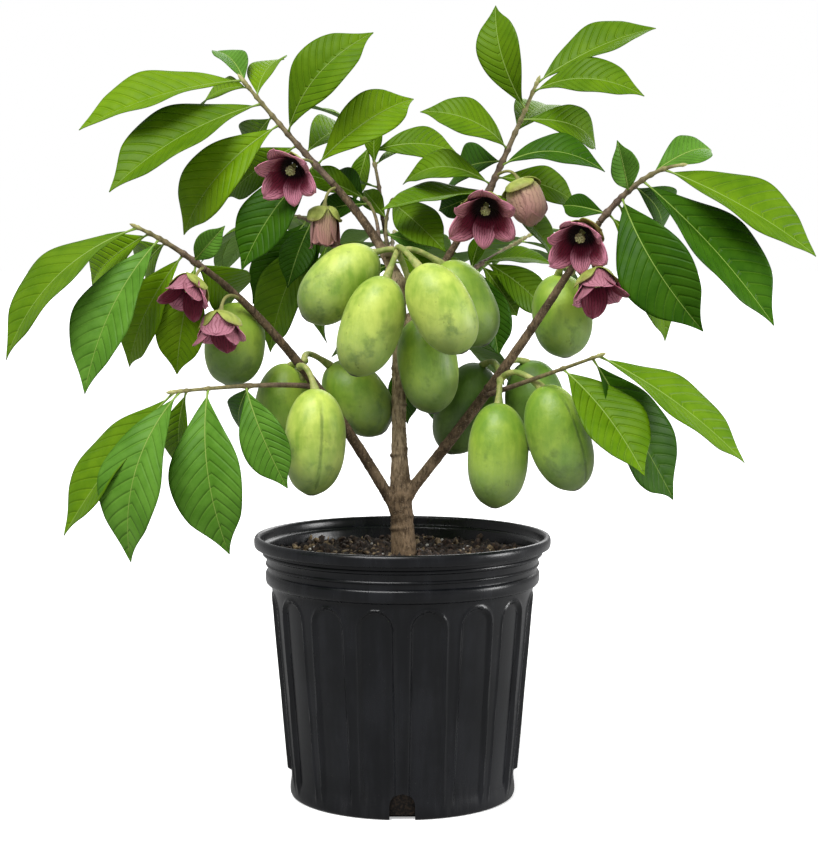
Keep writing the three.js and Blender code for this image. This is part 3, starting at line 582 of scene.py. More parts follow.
leaves = {
    "upper_left": [
        leaf(1, 197, -4, 174, 58, 0.07), leaf(0.78, 211, -16, 182, 48, 0.07), leaf(0.58, 228, 6, 151, 26, 0.2),
        leaf(0.97, 133, 50, 80, 44), leaf(0.84, 62, 56, 90, 44), leaf(0.93, 197, 50, 92, 60),
        leaf(0.49, 49, -8, 134, 26, 0.2), leaf(0.18, 35, 14, 124, 20, 0.2), leaf(0.38, 214, 32, 108, 30),
        leaf(0.19, 235, -8, 131, 28), leaf(0.66, 238, 66, 120, 40), leaf(0.3, 32, 62, 112, 40),
    ],
    "upper_right": [
        leaf(0.76, 106, 6, 110, -22, 0.2), leaf(1, 25, 8, 136, 54, 0.07), leaf(0.92, 357, -16, 114, 40, 0.18),
        leaf(0.67, 341, 30, 98, 36, 0.24), leaf(0.25, 357, -10, 106, 50, 0.2), leaf(0.15, 343, 24, 96, 36, 0.15),
        leaf(0.4, 157, -8, 97, 36, 0.22), leaf(0.08, 179, 12, 92, 44, 0.26), leaf(0.04, 202, 40, 72, 10),
        leaf(0.02, 315, 26, 112, 56), leaf(0.01, 189, -6, 110, 66, 0.05), leaf(0.55, 40, 62, 110, 40),
        leaf(0.3, 196, 64, 110, 40),
    ],
    "lower_left": [
        leaf(1, 225, -4, 177, 56, 0.13), leaf(0.83, 217, 40, 108, 34), leaf(0.69, 245, -14, 165, 34),
        leaf(0.33, 242, 18, 132, 38), leaf(0.13, 259, 4, 110, 8), leaf(0.16, 311, 66, 118, 10),
        leaf(0.17, 46, -34, 56, 0), leaf(0.6, 236, 66, 124, 40),
    ],
    "lower_right": [
        leaf(0.84, 331, 4, 174, 50, 0.06), leaf(0.6, 312, -8, 190, 44, 0.03),
        leaf(0.33, 300, -18, 156, -16, 0.16),
        leaf(0.12, 296, 14, 146, 44), leaf(0.7, 22, 32, 82, 34, 0.18), leaf(0.42, 108, -42, 66, 6),
        leaf(0.1, 168, 40, 54, 10), leaf(0.5, 306, 62, 130, 40), leaf(0.26, 300, 46, 124, 30),
    ],
    "low_left": [
        leaf(1, 232, 4, 174, 58, 0.04), leaf(0.96, 254, -8, 166, 30, 0.2), leaf(0.78, 278, -12, 158, -18, 0.16),
        leaf(0.53, 293, -12, 107, -12), leaf(0.92, 267, 28, 98, 44), leaf(0.5, 256, 50, 80, 50),
    ],
    "low_right": [
        leaf(1, 324, 4, 174, 62, 0.04), leaf(0.95, 301, 20, 176, 42, 0.03), leaf(0.71, 307, -31, 138, 30, 0.06),
    ],
    "inner": [leaf(1, 158, 8, 70, 30), leaf(0.85, 190, 30, 66, 20), leaf(0.95, 139, 44, 64, 20)],
    "middle": [
        leaf(1, 318, -42, 100, 20), leaf(0.8, 129, 40, 50, 10), leaf(0.62, 343, 28, 56, 20),
        leaf(0.45, 328, 20, 72, 20), leaf(0.3, 205, 40, 40, 20),
    ],
    "rear_top": [
        leaf(0.86, 359, 10, 94, 34, 0.2), leaf(0.95, 255, -6, 64, 38, 0.05), leaf(0.7, 88, 6, 50, 30),
        *grown(twigs["rear_top"], 0.4, 1, 3, 84, 3),
    ],
    "rear_left": [
        leaf(0.42, 237, -6, 108, 8), leaf(0.34, 251, -34, 88, 10), leaf(0.12, 232, 40, 76, 10),
        leaf(0.22, 248, 8, 146, 34), leaf(0.04, 268, -2, 110, 64),
        *grown(twigs["rear_left"], 0.56, 1, 5, 110, 8),
    ],
    "rear_right": [
        leaf(0.22, 359, 6, 76, 62), leaf(0.14, 284, -8, 98, 28, 0.08), leaf(0.26, 320, 10, 92, 24),
        leaf(0.2, 306, 24, 76, 18), leaf(0.07, 72, 20, 42, 10), leaf(0.04, 161, 50, 40, 10),
        *grown(twigs["rear_right"], 0.58, 1, 6, 92, 14),
    ],
    "rear": grown(twigs["rear"], 0.12, 1, 8, 108, 22),
    "rear_low": [
        leaf(0.4, 262, 4, 84, 30), leaf(0.5, 280, 4, 96, 30), *grown(twigs["rear_low"], 0.45, 1, 5, 112, 12),
    ],
}

twig_runs = []
for mass, twig in twigs.items():
    knots = [at for at, *_ in leaves[mass]]
    run = []
    for share in np.linspace(0, 1, 64):
        swell = sum(0.0009 * math.exp(-((share - knot) * twig.run[-1] / 0.0024) ** 2) for knot in knots)
        run.append((twig.at(share), 0.9 * twig.radius(share) + min(swell, 0.0011)))
    for past, radius in ((0.0015, 0.0017), (0.0035, 0.0021), (0.006, 0.0015), (0.0085, 0.0003)):
        run.append((twig.at(1) + twig.ahead(1) * past, radius))
    twig_runs.append(run)


def note(mesh, name, values):
    """Keep a number for each vertex of the mesh, under a name that its material reads."""
    mesh.attributes.new(name, "FLOAT", "POINT").data.foreach_set("value", values)


# How far along its twig each vertex lies, from 0 to 1.
twig_mesh = tubes("twigs", twig_runs, 12)
twig_spots = np.array([place for run in twig_runs for place, _ in run])
twig_shares = np.concatenate([np.linspace(0, 1, len(run)) for run in twig_runs])
note(
    twig_mesh, "reach",
    twig_shares[nearest(np.array([vertex.co for vertex in twig_mesh.vertices]), twig_spots)],
)

shoot_bark = Finish("shoot_bark", 0.7)
young = shoot_bark.attribute("reach")
patches = shoot_bark.place.noise(170, 4, 0.6).between(0.35, 0.65)
grown_wood = patches.colour((0.075, 0.045, 0.03), (0.16, 0.105, 0.065))
green_wood = patches.colour((0.13, 0.115, 0.035), (0.24, 0.215, 0.075))
bud_wood = patches.colour((0.30, 0.27, 0.09), (0.42, 0.42, 0.16))
shoot_skin = young.between(0.86, 0.97).colour(young.between(0.2, 0.85).colour(grown_wood, green_wood), bud_wood)
shoot_pores = shoot_bark.place.noise(700, 1).between(0.62, 0.7) * 0.4
shoot_bark.feed("Base Color", shoot_pores.colour(shoot_skin, (0.36, 0.29, 0.18)))
shoot_bark.bump(shoot_bark.place.noise(500, 3), 0.0004, 0.7)
all_twigs = shown("twigs", twig_mesh, shoot_bark.material)
masses = [f"shoot_{mass}" for mass in twigs]
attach(all_twigs, "root")
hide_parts(*masses)


# Leaves. Long blades, broadest past the middle and drawn to a drip tip, thin and limp, quilted between a
# dozen pairs of side veins, and paler below. Each is a grid bent to its own outline, arch and fold, with a
# solid stalk and midrib. The same draws as in the tree's own rule set each leaf's width and fold.

BLADE_ROWS, BLADE_COLUMNS, SIDE_VEINS, BLADE_THICKNESS = 84, 16, 13, 0.0006


def flat_grid(rows, columns):
    """A grid: how far along each vertex is, 0 to 1, how far across, -1 to 1, and the vertices of its faces."""
    grid = bmesh.new()
    bmesh.ops.create_grid(grid, x_segments=rows, y_segments=columns, size=1)
    grid.verts.index_update()
    share = np.array([(vertex.co.x + 1) / 2 for vertex in grid.verts])
    side = np.array([vertex.co.y for vertex in grid.verts])
    faces = np.array([[vertex.index for vertex in face.verts] for face in grid.faces])
    grid.free()
    return share, side, faces


leaf_share, leaf_side, leaf_faces = flat_grid(BLADE_ROWS, BLADE_COLUMNS)


def fullness(share):
    """A blade's width at a share of its length, as a part of its greatest width."""
    inner = np.clip((share - 0.045) / 0.955, 0, 1)
    drip = np.clip((inner - 0.78) / 0.2, 0, 1)
    return np.sin(math.pi * inner**1.18) ** 0.9 * (1 - 0.42 * drip**2 * (3 - 2 * drip))


def midline(share, length, arch, wave):
    """How far a leaf's middle line sways aside and rises, at a share of its length."""
    return 0.018 * math.sin(wave * 5) * length * np.sin(math.pi * share), 4 * arch * length * share * (1 - share)


def blade(root, along, side, upper, length, arch, width, fold, wave):
    """The places and the vein numbers of one leaf's grid. wave shifts the ripple of its edge."""
    share = 0.055 + 0.945 * leaf_share
    half = np.maximum(0.0004, width / 2 * fullness(share))
    out = leaf_side * half
    sway, rise = midline(share, length, arch, wave)
    cup = fold * half * (1.3 * np.abs(leaf_side) - 0.3 * leaf_side**2)
    edge = np.abs(leaf_side) ** 3 * np.sin(math.pi * share)
    ripple = 0.011 * length * edge * np.sin(share * 15 + wave + 1.7 * np.sign(leaf_side))
    forward = (0.75 * np.abs(out) + 0.3 * half * leaf_side**2) / length
    vein = SIDE_VEINS * (share - forward) + 0.4 * (leaf_side > 0)
    pillow = np.abs(np.sin(math.pi * vein)) ** 0.8 - 0.5
    quilt = 0.03 * half * pillow * (1 - leaf_side**4) * (1 - np.exp(-((out / 0.004) ** 2)))
    crease = -0.0005 * np.exp(-((out / 0.0018) ** 2))
    lift = rise + cup + ripple + quilt + crease
    places = np.outer(share * length, along) + np.outer(sway - out, side) + np.outer(lift, upper)
    return np.array(root) + places, vein


def leaf_finish(name, shade, bright, gloss=0.36):
    """A leaf's skin: side veins and edge by the leaf's own map, over a soft mottling of two greens, with painted
    light on the quilted pillows between the veins.
    """
    skin = Finish(name, **{"Specular IOR Level": 0.09})
    crease = abs((skin.attribute("vein") * math.pi).sine())
    aside = abs(skin.attribute("aside"))
    mottle = skin.place.noise(38, 3)
    fine = skin.place.noise(800, 2)
    # The crease term paints the raised pillows between the side veins lighter, as painted light on the quilting.
    green = (
        0.5 * mottle.between(0.3, 0.7) + 0.22 * crease + 0.2 * fine + 0.16 * (1 - aside)
    ).colour(shade, bright)
    pale = [1.3 * bright[0] + 0.04, 1.15 * bright[1] + 0.05, 1.5 * bright[2] + 0.006]
    veined = ((1 - crease.between(0.02, 0.22)) * (1 - 0.75 * aside) * 0.5).colour(green, pale)
    skin.feed("Base Color", (aside.between(0.96, 0.99) * 0.25).colour(veined, [0.45 * value for value in shade]))
    skin.feed("Roughness", gloss + 0.16 * mottle)
    skin.bump(crease.between(0.0, 0.6) + 0.15 * fine, 0.0009, 0.7)
    return skin.material


# The tints are partly the leaves' own greens and partly painted light and painted shade: some leaves that stand
# in shade take the bright tint, and some that were seen in shade the deep one.
leaf_tints = {
    "b": leaf_finish("leaf_bright_partly_painted_light", (0.088, 0.200, 0.001), (0.165, 0.295, 0.004)),
    "m": leaf_finish("leaf_mid", (0.050, 0.130, 0.001), (0.118, 0.225, 0.004)),
    "d": leaf_finish("leaf_deep_partly_painted_shade", (0.013, 0.062, 0.001), (0.042, 0.122, 0.003)),
    "c": leaf_finish("leaf_cool", (0.043, 0.135, 0.007), (0.118, 0.275, 0.030)),
}
underside = leaf_finish("leaf_underside", (0.10, 0.20, 0.035), (0.165, 0.285, 0.06), 0.5)
# Each tint is followed by the underside, which a blade's thickness takes.
leaf_materials = [material for tint in leaf_tints.values() for material in (tint, underside)]
# The tint of each leaf, in the order of its list. The bright and deep letters are partly painted light and
# painted shade.
tint_rows = {
    "upper_left": "bmbcbbmbmdmm", "upper_right": "mmmmdmmmdmmmd",
    "lower_left": "mbcbbbcm", "lower_right": "mddmccddm",
    "low_left": "mcccmd", "low_right": "mdm", "inner": "mdd", "middle": "mmcmd", "rear_top": "mmmbmm",
    "rear_left": "dddmmmcmdm", "rear_right": "mdmmmmmcmdmm", "rear": "mdmbmmdm", "rear_low": "ddmdmmd",
}
rib_skin = mottled("leaf_rib", 0.5, 120, (0.17, 0.29, 0.04), (0.29, 0.41, 0.09), **{"Specular IOR Level": 0.2})
rib_runs = []
for order, (mass, twig) in enumerate(twigs.items(), 1):
    draw = seeded(order)
    places, veins, tints = [], [], []
    for number, (at, along, face, length, arch) in enumerate(leaves[mass]):
        root = twig.at(at)
        upper = (face - along * face.dot(along)).normalized()
        side = along.cross(upper)
        width = length * 0.44 * lerp(0.94, 1.06, next(draw))
        fold = 0.25 * lerp(0.6, 1.4, next(draw))
        wave = 1.9 * number + order
        spots, vein = blade(root, along, side, upper, length, arch, width, fold, wave)
        places.append(spots)
        veins.append(vein)
        tints.append(np.full(len(leaf_faces), 2 * list(leaf_tints).index(tint_rows[mass][number])))
        run = []
        for share in np.linspace(0, 0.97, 22):
            sway, rise = midline(share, length, arch, wave)
            spot = root + along * (share * length) + side * sway + upper * (rise - 0.0004)
            run.append((spot, lerp(0.00105, 0.0003, share**0.6) * (1 + 0.6 * math.exp(-share * 30))))
        rib_runs.append(run)
    mesh = bpy.data.meshes.new(f"leaves_{mass}")
    faces = np.concatenate([leaf_faces + number * len(leaf_share) for number in range(len(places))])
    mesh.from_pydata(np.concatenate(places), [], faces.tolist())
    note(mesh, "vein", np.concatenate(veins))
    note(mesh, "aside", np.tile(leaf_side, len(places)))
    mesh.polygons.foreach_set("material_index", np.concatenate(tints))
    foliage = shown(f"leaves_{mass}", mesh, *leaf_materials)
    body = foliage.modifiers.new("body", "SOLIDIFY")
    body.thickness, body.offset, body.material_offset, body.material_offset_rim = BLADE_THICKNESS, -1, 1, 0
    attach(foliage, "root")
    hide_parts(f"shoot_{mass}")
ribs = shown("leaf_ribs", tubes("leaf_ribs", rib_runs, 8), rib_skin)
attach(ribs, "root")
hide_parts(*masses)


# Fruit. Blunt oblong berries, light green with a grey bloom towards the free end, a few with a seam, and all
# with the dark dot of the flower's scar. Each body is a sphere pressed to the berry's outline, and hangs on a
# stout stalk from a knot beside its bough.

FRUIT_HALF_WIDTH, FRUIT_TRIM = 0.0305, 0.985
FRUIT_COLUMNS, FRUIT_ROWS = 48, 34


def berry_finish(name, green, light, bloom_share):
    """A berry's skin: mottled and faintly streaked green, bloom and painted shade to its free end, brown marks,
    seam and scar.
    """
    skin = Finish(name, **{"Sheen Weight": 0.08, "Sheen Roughness": 0.4})
    end, seam = skin.attribute("end"), skin.attribute("seam")
    clouds, fine = skin.place.noise(24, 3), skin.place.noise(260, 4, 0.65)
    streaks = skin.place.noise(95, 4, 0.6, (1, 1, 0.25))
    ground = (
        0.55 * clouds.between(0.36, 0.64) + 0.2 * fine + 0.3 * streaks.between(0.35, 0.65)
    ).colour(green, light)
    shade = skin.place.noise(52, 4, 0.6).between(0.5, 0.68) * end.between(0.1, 0.8) * 0.75
    blotched = shade.colour(ground, [0.5 * value for value in green])
    bloom = end.between(0.3, 0.95) * bloom_share * (0.15 + 1.4 * fine)
    bloomed = bloom.colour(blotched, (0.29, 0.42, 0.16))
    marks = skin.place.noise(105, 5, 0.7).between(0.63, 0.7) * (0.2 + 0.5 * end)
    marked = marks.colour(bloomed, (0.13, 0.16, 0.02))
    split = seam + 0.0014 * (fine - 0.5) + 0.002 * end.between(0.9, 0.97)
    groove = (1 - split.between(0.0003, 0.0026)) * streaks.between(0.28, 0.48) * end.between(0.04, 0.25)
    seamed = (0.55 * groove).colour(marked, (0.04, 0.09, 0.010))
    # Painted shade: the skin darkens towards the free end, which hangs lowest.
    free_end_painted_shade = (end.between(0.6, 1.0) * 0.45).colour(seamed, (0.05, 0.085, 0.010))
    skin.feed("Base Color", end.between(0.986, 0.994).colour(free_end_painted_shade, (0.03, 0.022, 0.012)))
    skin.feed("Roughness", 0.32 + 0.16 * clouds + 0.16 * fine)
    skin.bump(clouds + 0.35 * fine + 0.5 * streaks - 0.6 * groove, 0.0018, 0.5)
    return skin.material


# The deep skin is the green one darkened as painted shade, for fruit that hang behind the right bough.
berry_skins = [
    berry_finish("berry_light", (0.175, 0.325, 0.018), (0.56, 0.67, 0.115), 0.5),
    berry_finish("berry_green", (0.125, 0.26, 0.016), (0.33, 0.47, 0.045), 0.5),
    berry_finish("berry_deep_painted_shade", (0.045, 0.115, 0.006), (0.12, 0.235, 0.02), 0.4),
]
LIGHT, GREEN, DEEP_PAINTED_SHADE = range(3)


def fruit(x, y, z, heading, length, skin, seam=None):
    """One berry: its middle, its free end's heading, its length, its skin, and the side that a seam is on."""
    return mm(x, y, z), direction(heading, 0), length / 1000, skin, seam


def beside(name, share, x, y, z):
    return on_bough(name, share) + mm(x, y, z)


clusters = {
    "fruit_cluster_crown": (mm(-5, -24, 549), [
        fruit(-62, -30, 518, 224, 97, LIGHT), fruit(-31, -74, 479, 251, 102, LIGHT),
        fruit(38, -86, 496, 298, 95, LIGHT), fruit(62, -16, 499, 298, 93, GREEN),
        fruit(24, -28, 438, 279, 97, GREEN),
    ]),
    "fruit_front_left": (
        beside("bough_lower_left", 0.59, 1, -9, -2), [fruit(-86, -80, 367, 267, 105, LIGHT, 14)],
    ),
    "fruit_inner_left": (beside("bough_lower_left", 0.59, 5, 4, 3), [fruit(-46, 14, 402, 308, 88, GREEN)]),
    "fruit_rear_left": (beside("bough_lower_left", 0.56, -2, 8, -6), [fruit(-120, -4, 394, 262, 91, GREEN)]),
    "fruit_upper_left": (beside("bough_lower_left", 0.8, -1, 7, -5), [fruit(-166, -44, 460, 265, 83, GREEN)]),
    "fruit_pair_right": (beside("bough_lower_right", 0.47, 2, -9, -3), [
        fruit(92, -72, 353, 268, 104, GREEN), fruit(153, -80, 371, 288, 108, GREEN, 38),
    ]),
    # These two hang behind the bough and take the painted-shade skin.
    "fruit_rear_right": (beside("bough_lower_right", 0.48, 0, 9, -2), [
        fruit(63, 24, 391, 250, 98, DEEP_PAINTED_SHADE), fruit(136, 6, 394, 280, 97, DEEP_PAINTED_SHADE),
    ]),
    "fruit_upper_right": (beside("bough_lower_right", 0.84, 2, 9, -2), [fruit(160, 6, 486, 277, 85, GREEN)]),
}

stalk_runs = []
for cluster, (knot, berries) in clusters.items():
    bodies = bmesh.new()
    end_layer = bodies.verts.layers.float.new("end")
    seam_layer = bodies.verts.layers.float.new("seam")
    for number, (middle, along, length, skin, seam) in enumerate(berries):
        before = len(bodies.faces)
        ball = bmesh.ops.create_uvsphere(
            bodies, u_segments=FRUIT_COLUMNS, v_segments=FRUIT_ROWS, radius=1
        )["verts"]
        set_along = Vector((0, 0, 1)).rotation_difference(along)
        viewer = set_along.inverted() @ Vector((0, -1, 0))
        front = math.atan2(viewer.y, viewer.x)
        shift = number * 2.3 + len(cluster)
        column = 2 * math.pi / FRUIT_COLUMNS
        seam_at = None if seam is None else round((front - math.radians(seam)) / column) * column
        for vertex in ball:
            x, y, high = vertex.co
            high = max(-1.0, min(1.0, high))
            around = math.atan2(y, x)
            full = max(0.0, 1 - abs(high) ** 2.4) ** (1 / 2.1)
            lobes = 1 + 0.012 * math.cos(2 * around + shift) + 0.01 * math.cos(3 * around - shift)
            waist = 1 - 0.03 * smoothstep(-0.2, -1, high)
            radius = FRUIT_HALF_WIDTH * FRUIT_TRIM * full * lobes * waist
            off_seam = 1.0
            if seam is not None:
                off = (around - seam_at + math.pi) % (2 * math.pi) - math.pi
                off_seam = abs(off) * radius + 0.004 * max(0.0, abs(high) - 0.93) / 0.07
                radius -= 0.0006 * math.exp(-((off_seam / 0.0014) ** 2)) * (1 - high**8)
            tip = 0.0012 * smoothstep(0.97, 1, high)
            rise = high * length / 2 * FRUIT_TRIM + tip
            spot = Vector((radius * math.cos(around), radius * math.sin(around), rise))
            spot += Vector((0.0012 * math.cos(shift), 0.0012 * math.sin(shift), 0)) * (1 - high * high)
            spot = middle + set_along @ spot
            vertex[end_layer] = (high + 1) / 2
            vertex[seam_layer] = off_seam
            vertex.co = spot + (spot - middle).normalized() * 0.0003 * noise.noise(spot * 70)
        bodies.faces.ensure_lookup_table()
        for face in bodies.faces[before:]:
            face.material_index = skin
        crown = middle - along * (length / 2)
        bend = crown.lerp(knot, 0.5) - along * (0.4 * (crown - knot).length)
        stalk = Limb(knot, bend, crown + along * 0.006)
        stalk_runs.append([
            (stalk.at(share), 0.0029 + 0.0009 * math.exp(-share * 9) + 0.0017 * smoothstep(0.62, 0.95, share))
            for share in np.linspace(0, 1, 24)
        ])
    berries_name = cluster.replace("fruit", "berries")
    hanging = shown(berries_name, meshed(berries_name, bodies), *berry_skins)
    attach(hanging, "root")
    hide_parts(cluster)
    stalk_runs.append([(knot + Vector((0, 0, 0.001 * step)), math.sqrt(max(0.2, 16 - step**2)) / 1000)
                       for step in range(-4, 5)])
stalk_skin = mottled("fruit_stalk", 0.6, 140, (0.20, 0.27, 0.05), (0.40, 0.40, 0.13), span=(0.35, 0.7),
                     grain=(500, 0.0005))
fruit_stalks = shown("fruit_stalks", tubes("fruit_stalks", stalk_runs, 14), stalk_skin)
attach(fruit_stalks, "root")
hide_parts(*clusters)

# The woody spur that carries the fruit at the crown, pinkish tan where it has swollen.
spur_skin = mottled("fruit_spur", 0.7, 160, (0.20, 0.15, 0.075), (0.42, 0.28, 0.17), grain=(400, 0.0008))
spur_start, spur_end = on_bough("bough_upper_left", 0.3), clusters["fruit_cluster_crown"][0]
spur_limb = Limb(spur_start, spur_start.lerp(spur_end, 0.5) + mm(0, -4, 6), spur_end)
spur_run = [(spur_limb.at(share), 0.0046 - 0.0006 * math.sin(share * 9)) for share in np.linspace(0, 1, 20)]
spur = shown("fruit_spur", tubes("fruit_spur", [spur_run], 16), spur_skin)
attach(spur, "root")
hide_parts("fruit_cluster_crown")


# Flowers. Nodding bells of three broad outer petals and three narrower inner ones, dusty maroon with dark
# veins and a near-black throat, round a ball of stamens, with three green sepals that clasp the bell. Each
# petal is a grid wrapped round the bell's line. A seeded draw turns, widens and curls those of open flowers.

BELL_LENGTH, STAMEN_REACH, STAMEN_RADIUS = 0.037, 0.0115, 0.005
PETAL_ROWS, PETAL_COLUMNS, PETAL_THICKNESS, SEPAL_THICKNESS = 24, 16, 0.0007, 0.0009
# Flowers that are open wider than these count as wide open and as open. The bud is at 0.
WIDE, OPEN = 45, 20


def blossom(root, cup, heading, lean, spread, size=1.0):
    """One flower: its stalk's start, its cup, which way it looks, how wide it is open in degrees, its size."""
    return root, cup, direction(heading, lean), spread, size


def on_twig(mass, share):
    return twigs[mass].at(share)


blossoms = {
    "blossom_upper_left": blossom(on_twig("upper_left", 0.2), mm(-108, 4, 636), 240, -55, 54),
    "blossom_hanging_left": blossom(on_bough("bough_upper_left", 0.96), mm(-78, 10, 596), 268, 0, 16),
    "blossom_lower_left": blossom(on_twig("lower_left", 0.02), mm(-198, -106, 525), 247, -32, 36, 0.98),
    "blossom_low_left": blossom(on_bough("bough_lower_left", 0.86), mm(-173, -104, 494), 268, -16, 30, 1.05),
    "blossom_upper_right": blossom(on_twig("upper_right", 0.04), mm(84, 4, 597), 258, -56, 56, 1.12),
    "blossom_bud": blossom(on_twig("upper_right", 0.16), mm(116, 10, 622), 291, -10, 0),
    "blossom_lower_right": blossom(on_bough("bough_lower_right", 0.96), mm(174, -70, 570), 246, -54, 50, 1.05),
    "blossom_low_right": blossom(on_bough("bough_lower_right", 0.9), mm(186, -78, 531), 277, -32, 40, 1.1),
}

petal_share, petal_side, petal_faces = flat_grid(PETAL_ROWS, PETAL_COLUMNS)
petal_draw = seeded(61)


def bell_line(length, leans, places=(0, 0.42, 1), root=0.003):
    """A petal's middle line as its radius and its reach, with its lean off the axis in degrees at each place."""
    steps = np.linspace(0, 1, 201)
    lean = np.radians(np.interp(steps, places, leans))
    return steps, root + length * np.cumsum(np.sin(lean)) / 200, length * np.cumsum(np.cos(lean)) / 200


def petal(cup, ahead, turn, line, half_width, part=1.0, out=0.0, blunt=0.55):
    """One petal's grid: the part of the bell's line that it covers and how far it stands off it."""
    steps, radii, reaches = line
    radius = np.interp(petal_share * part, steps, radii)
    reach = np.interp(petal_share * part, steps, reaches)
    half = half_width * np.sin(math.pi * (0.05 + 0.95 * petal_share**1.3)) ** blunt
    around = petal_side * half / np.maximum(radius, 0.009)
    margin = np.abs(petal_side) ** 3 * petal_share
    curl = lerp(-0.0015, 0.0030, next(petal_draw)) * petal_share**3
    radius = np.maximum(0.0006, radius + out + 0.0006 * petal_side)
    radius += curl * (blunt > 0)
    radius += 0.0020 * margin + 0.0008 * np.sin(petal_side * 5 + turn * 3) * petal_share**2
    radius -= 0.0005 * np.exp(-((petal_side / 0.12) ** 2)) * petal_share
    reach -= 0.0022 * margin * np.cos(petal_share * 4 + turn)
    across = ahead.cross(Vector((0, 0, 1))).normalized()
    upright = ahead.cross(across)
    ring = np.outer(np.cos(turn + around) * radius, across) + np.outer(np.sin(turn + around) * radius, upright)
    return np.array(cup) + ring + np.outer(reach, ahead)


def petal_piece(name, petals, thickness, *materials):
    """Petals of one kind as one piece: each grid a face skin and, through its thickness, a back skin."""
    grids, tones = zip(*petals)
    mesh = bpy.data.meshes.new(name)
    count = len(petal_share)
    faces = np.concatenate([petal_faces + number * count for number in range(len(grids))])
    mesh.from_pydata(np.concatenate(grids), [], faces.tolist())
    note(mesh, "length", np.tile(petal_share, len(grids)))
    note(mesh, "side", np.tile(petal_side, len(grids)))
    note(mesh, "tone", np.repeat(tones, count))
    piece = shown(name, mesh, *materials)
    body = piece.modifiers.new("body", "SOLIDIFY")
    body.thickness, body.offset, body.material_offset = thickness, 1, 1
    return piece


def petal_finish(name, throat, middle, rim, vein, heart=0.2):
    """Petal skin: darker to the throat and paler to the rim, with fine veins that fan out."""
    skin = Finish(name, **{"Sheen Weight": 0.06, "Specular IOR Level": 0.25})
    length, side, tone = (skin.attribute(name) for name in ("length", "side", "tone"))
    wander = skin.place.noise(210, 3)
    fan = abs((side * 14 + wander * 5).sine())
    inner = length.between(heart, heart + 0.22).colour(throat, middle)
    flush = (length + 0.2 * abs(side) + 0.3 * wander - 0.2 * tone).between(0.66, 1.06).colour(inner, rim)
    lines = (1 - fan.between(0.1, 0.5)) * length.between(0.1, 0.35) * (1.1 - 0.5 * length)
    skin.feed("Base Color", lines.colour(flush, vein))
    skin.bump(fan.between(0, 0.6) + 0.4 * skin.place.noise(500, 2), 0.0006, 0.7)
    return skin.material


# The face's dark middle is the petals' own maroon deepened as painted shade inside the bell.
petal_face = petal_finish("petal_face", (0.008, 0.001, 0.002), (0.20, 0.018, 0.046), (0.68, 0.25, 0.35),
                          (0.075, 0.004, 0.016), 0.24)
petal_back = petal_finish("petal_back", (0.27, 0.21, 0.10), (0.33, 0.12, 0.16), (0.42, 0.165, 0.22),
                          (0.24, 0.075, 0.10), 0.02)
young_face = petal_finish("young_petal_face", (0.04, 0.008, 0.012), (0.16, 0.05, 0.055), (0.30, 0.14, 0.14),
                          (0.10, 0.03, 0.035))
young_back = petal_finish("young_petal_back", (0.32, 0.34, 0.10), (0.45, 0.28, 0.20), (0.44, 0.22, 0.20),
                          (0.33, 0.18, 0.14), 0.22)
sepal_skin = Finish("sepal", 0.6)
sepal_length = sepal_skin.attribute("length")
sepal_mix = sepal_skin.place.noise(180, 3).between(0.3, 0.7)
sepal_green = sepal_mix.colour((0.25, 0.30, 0.05), (0.36, 0.41, 0.08))
sepal_skin.feed("Base Color", (sepal_length.between(0.75, 1) * 0.5).colour(sepal_green, (0.22, 0.14, 0.06)))
sepal_skin.bump(sepal_skin.place.noise(600, 2), 0.0004)

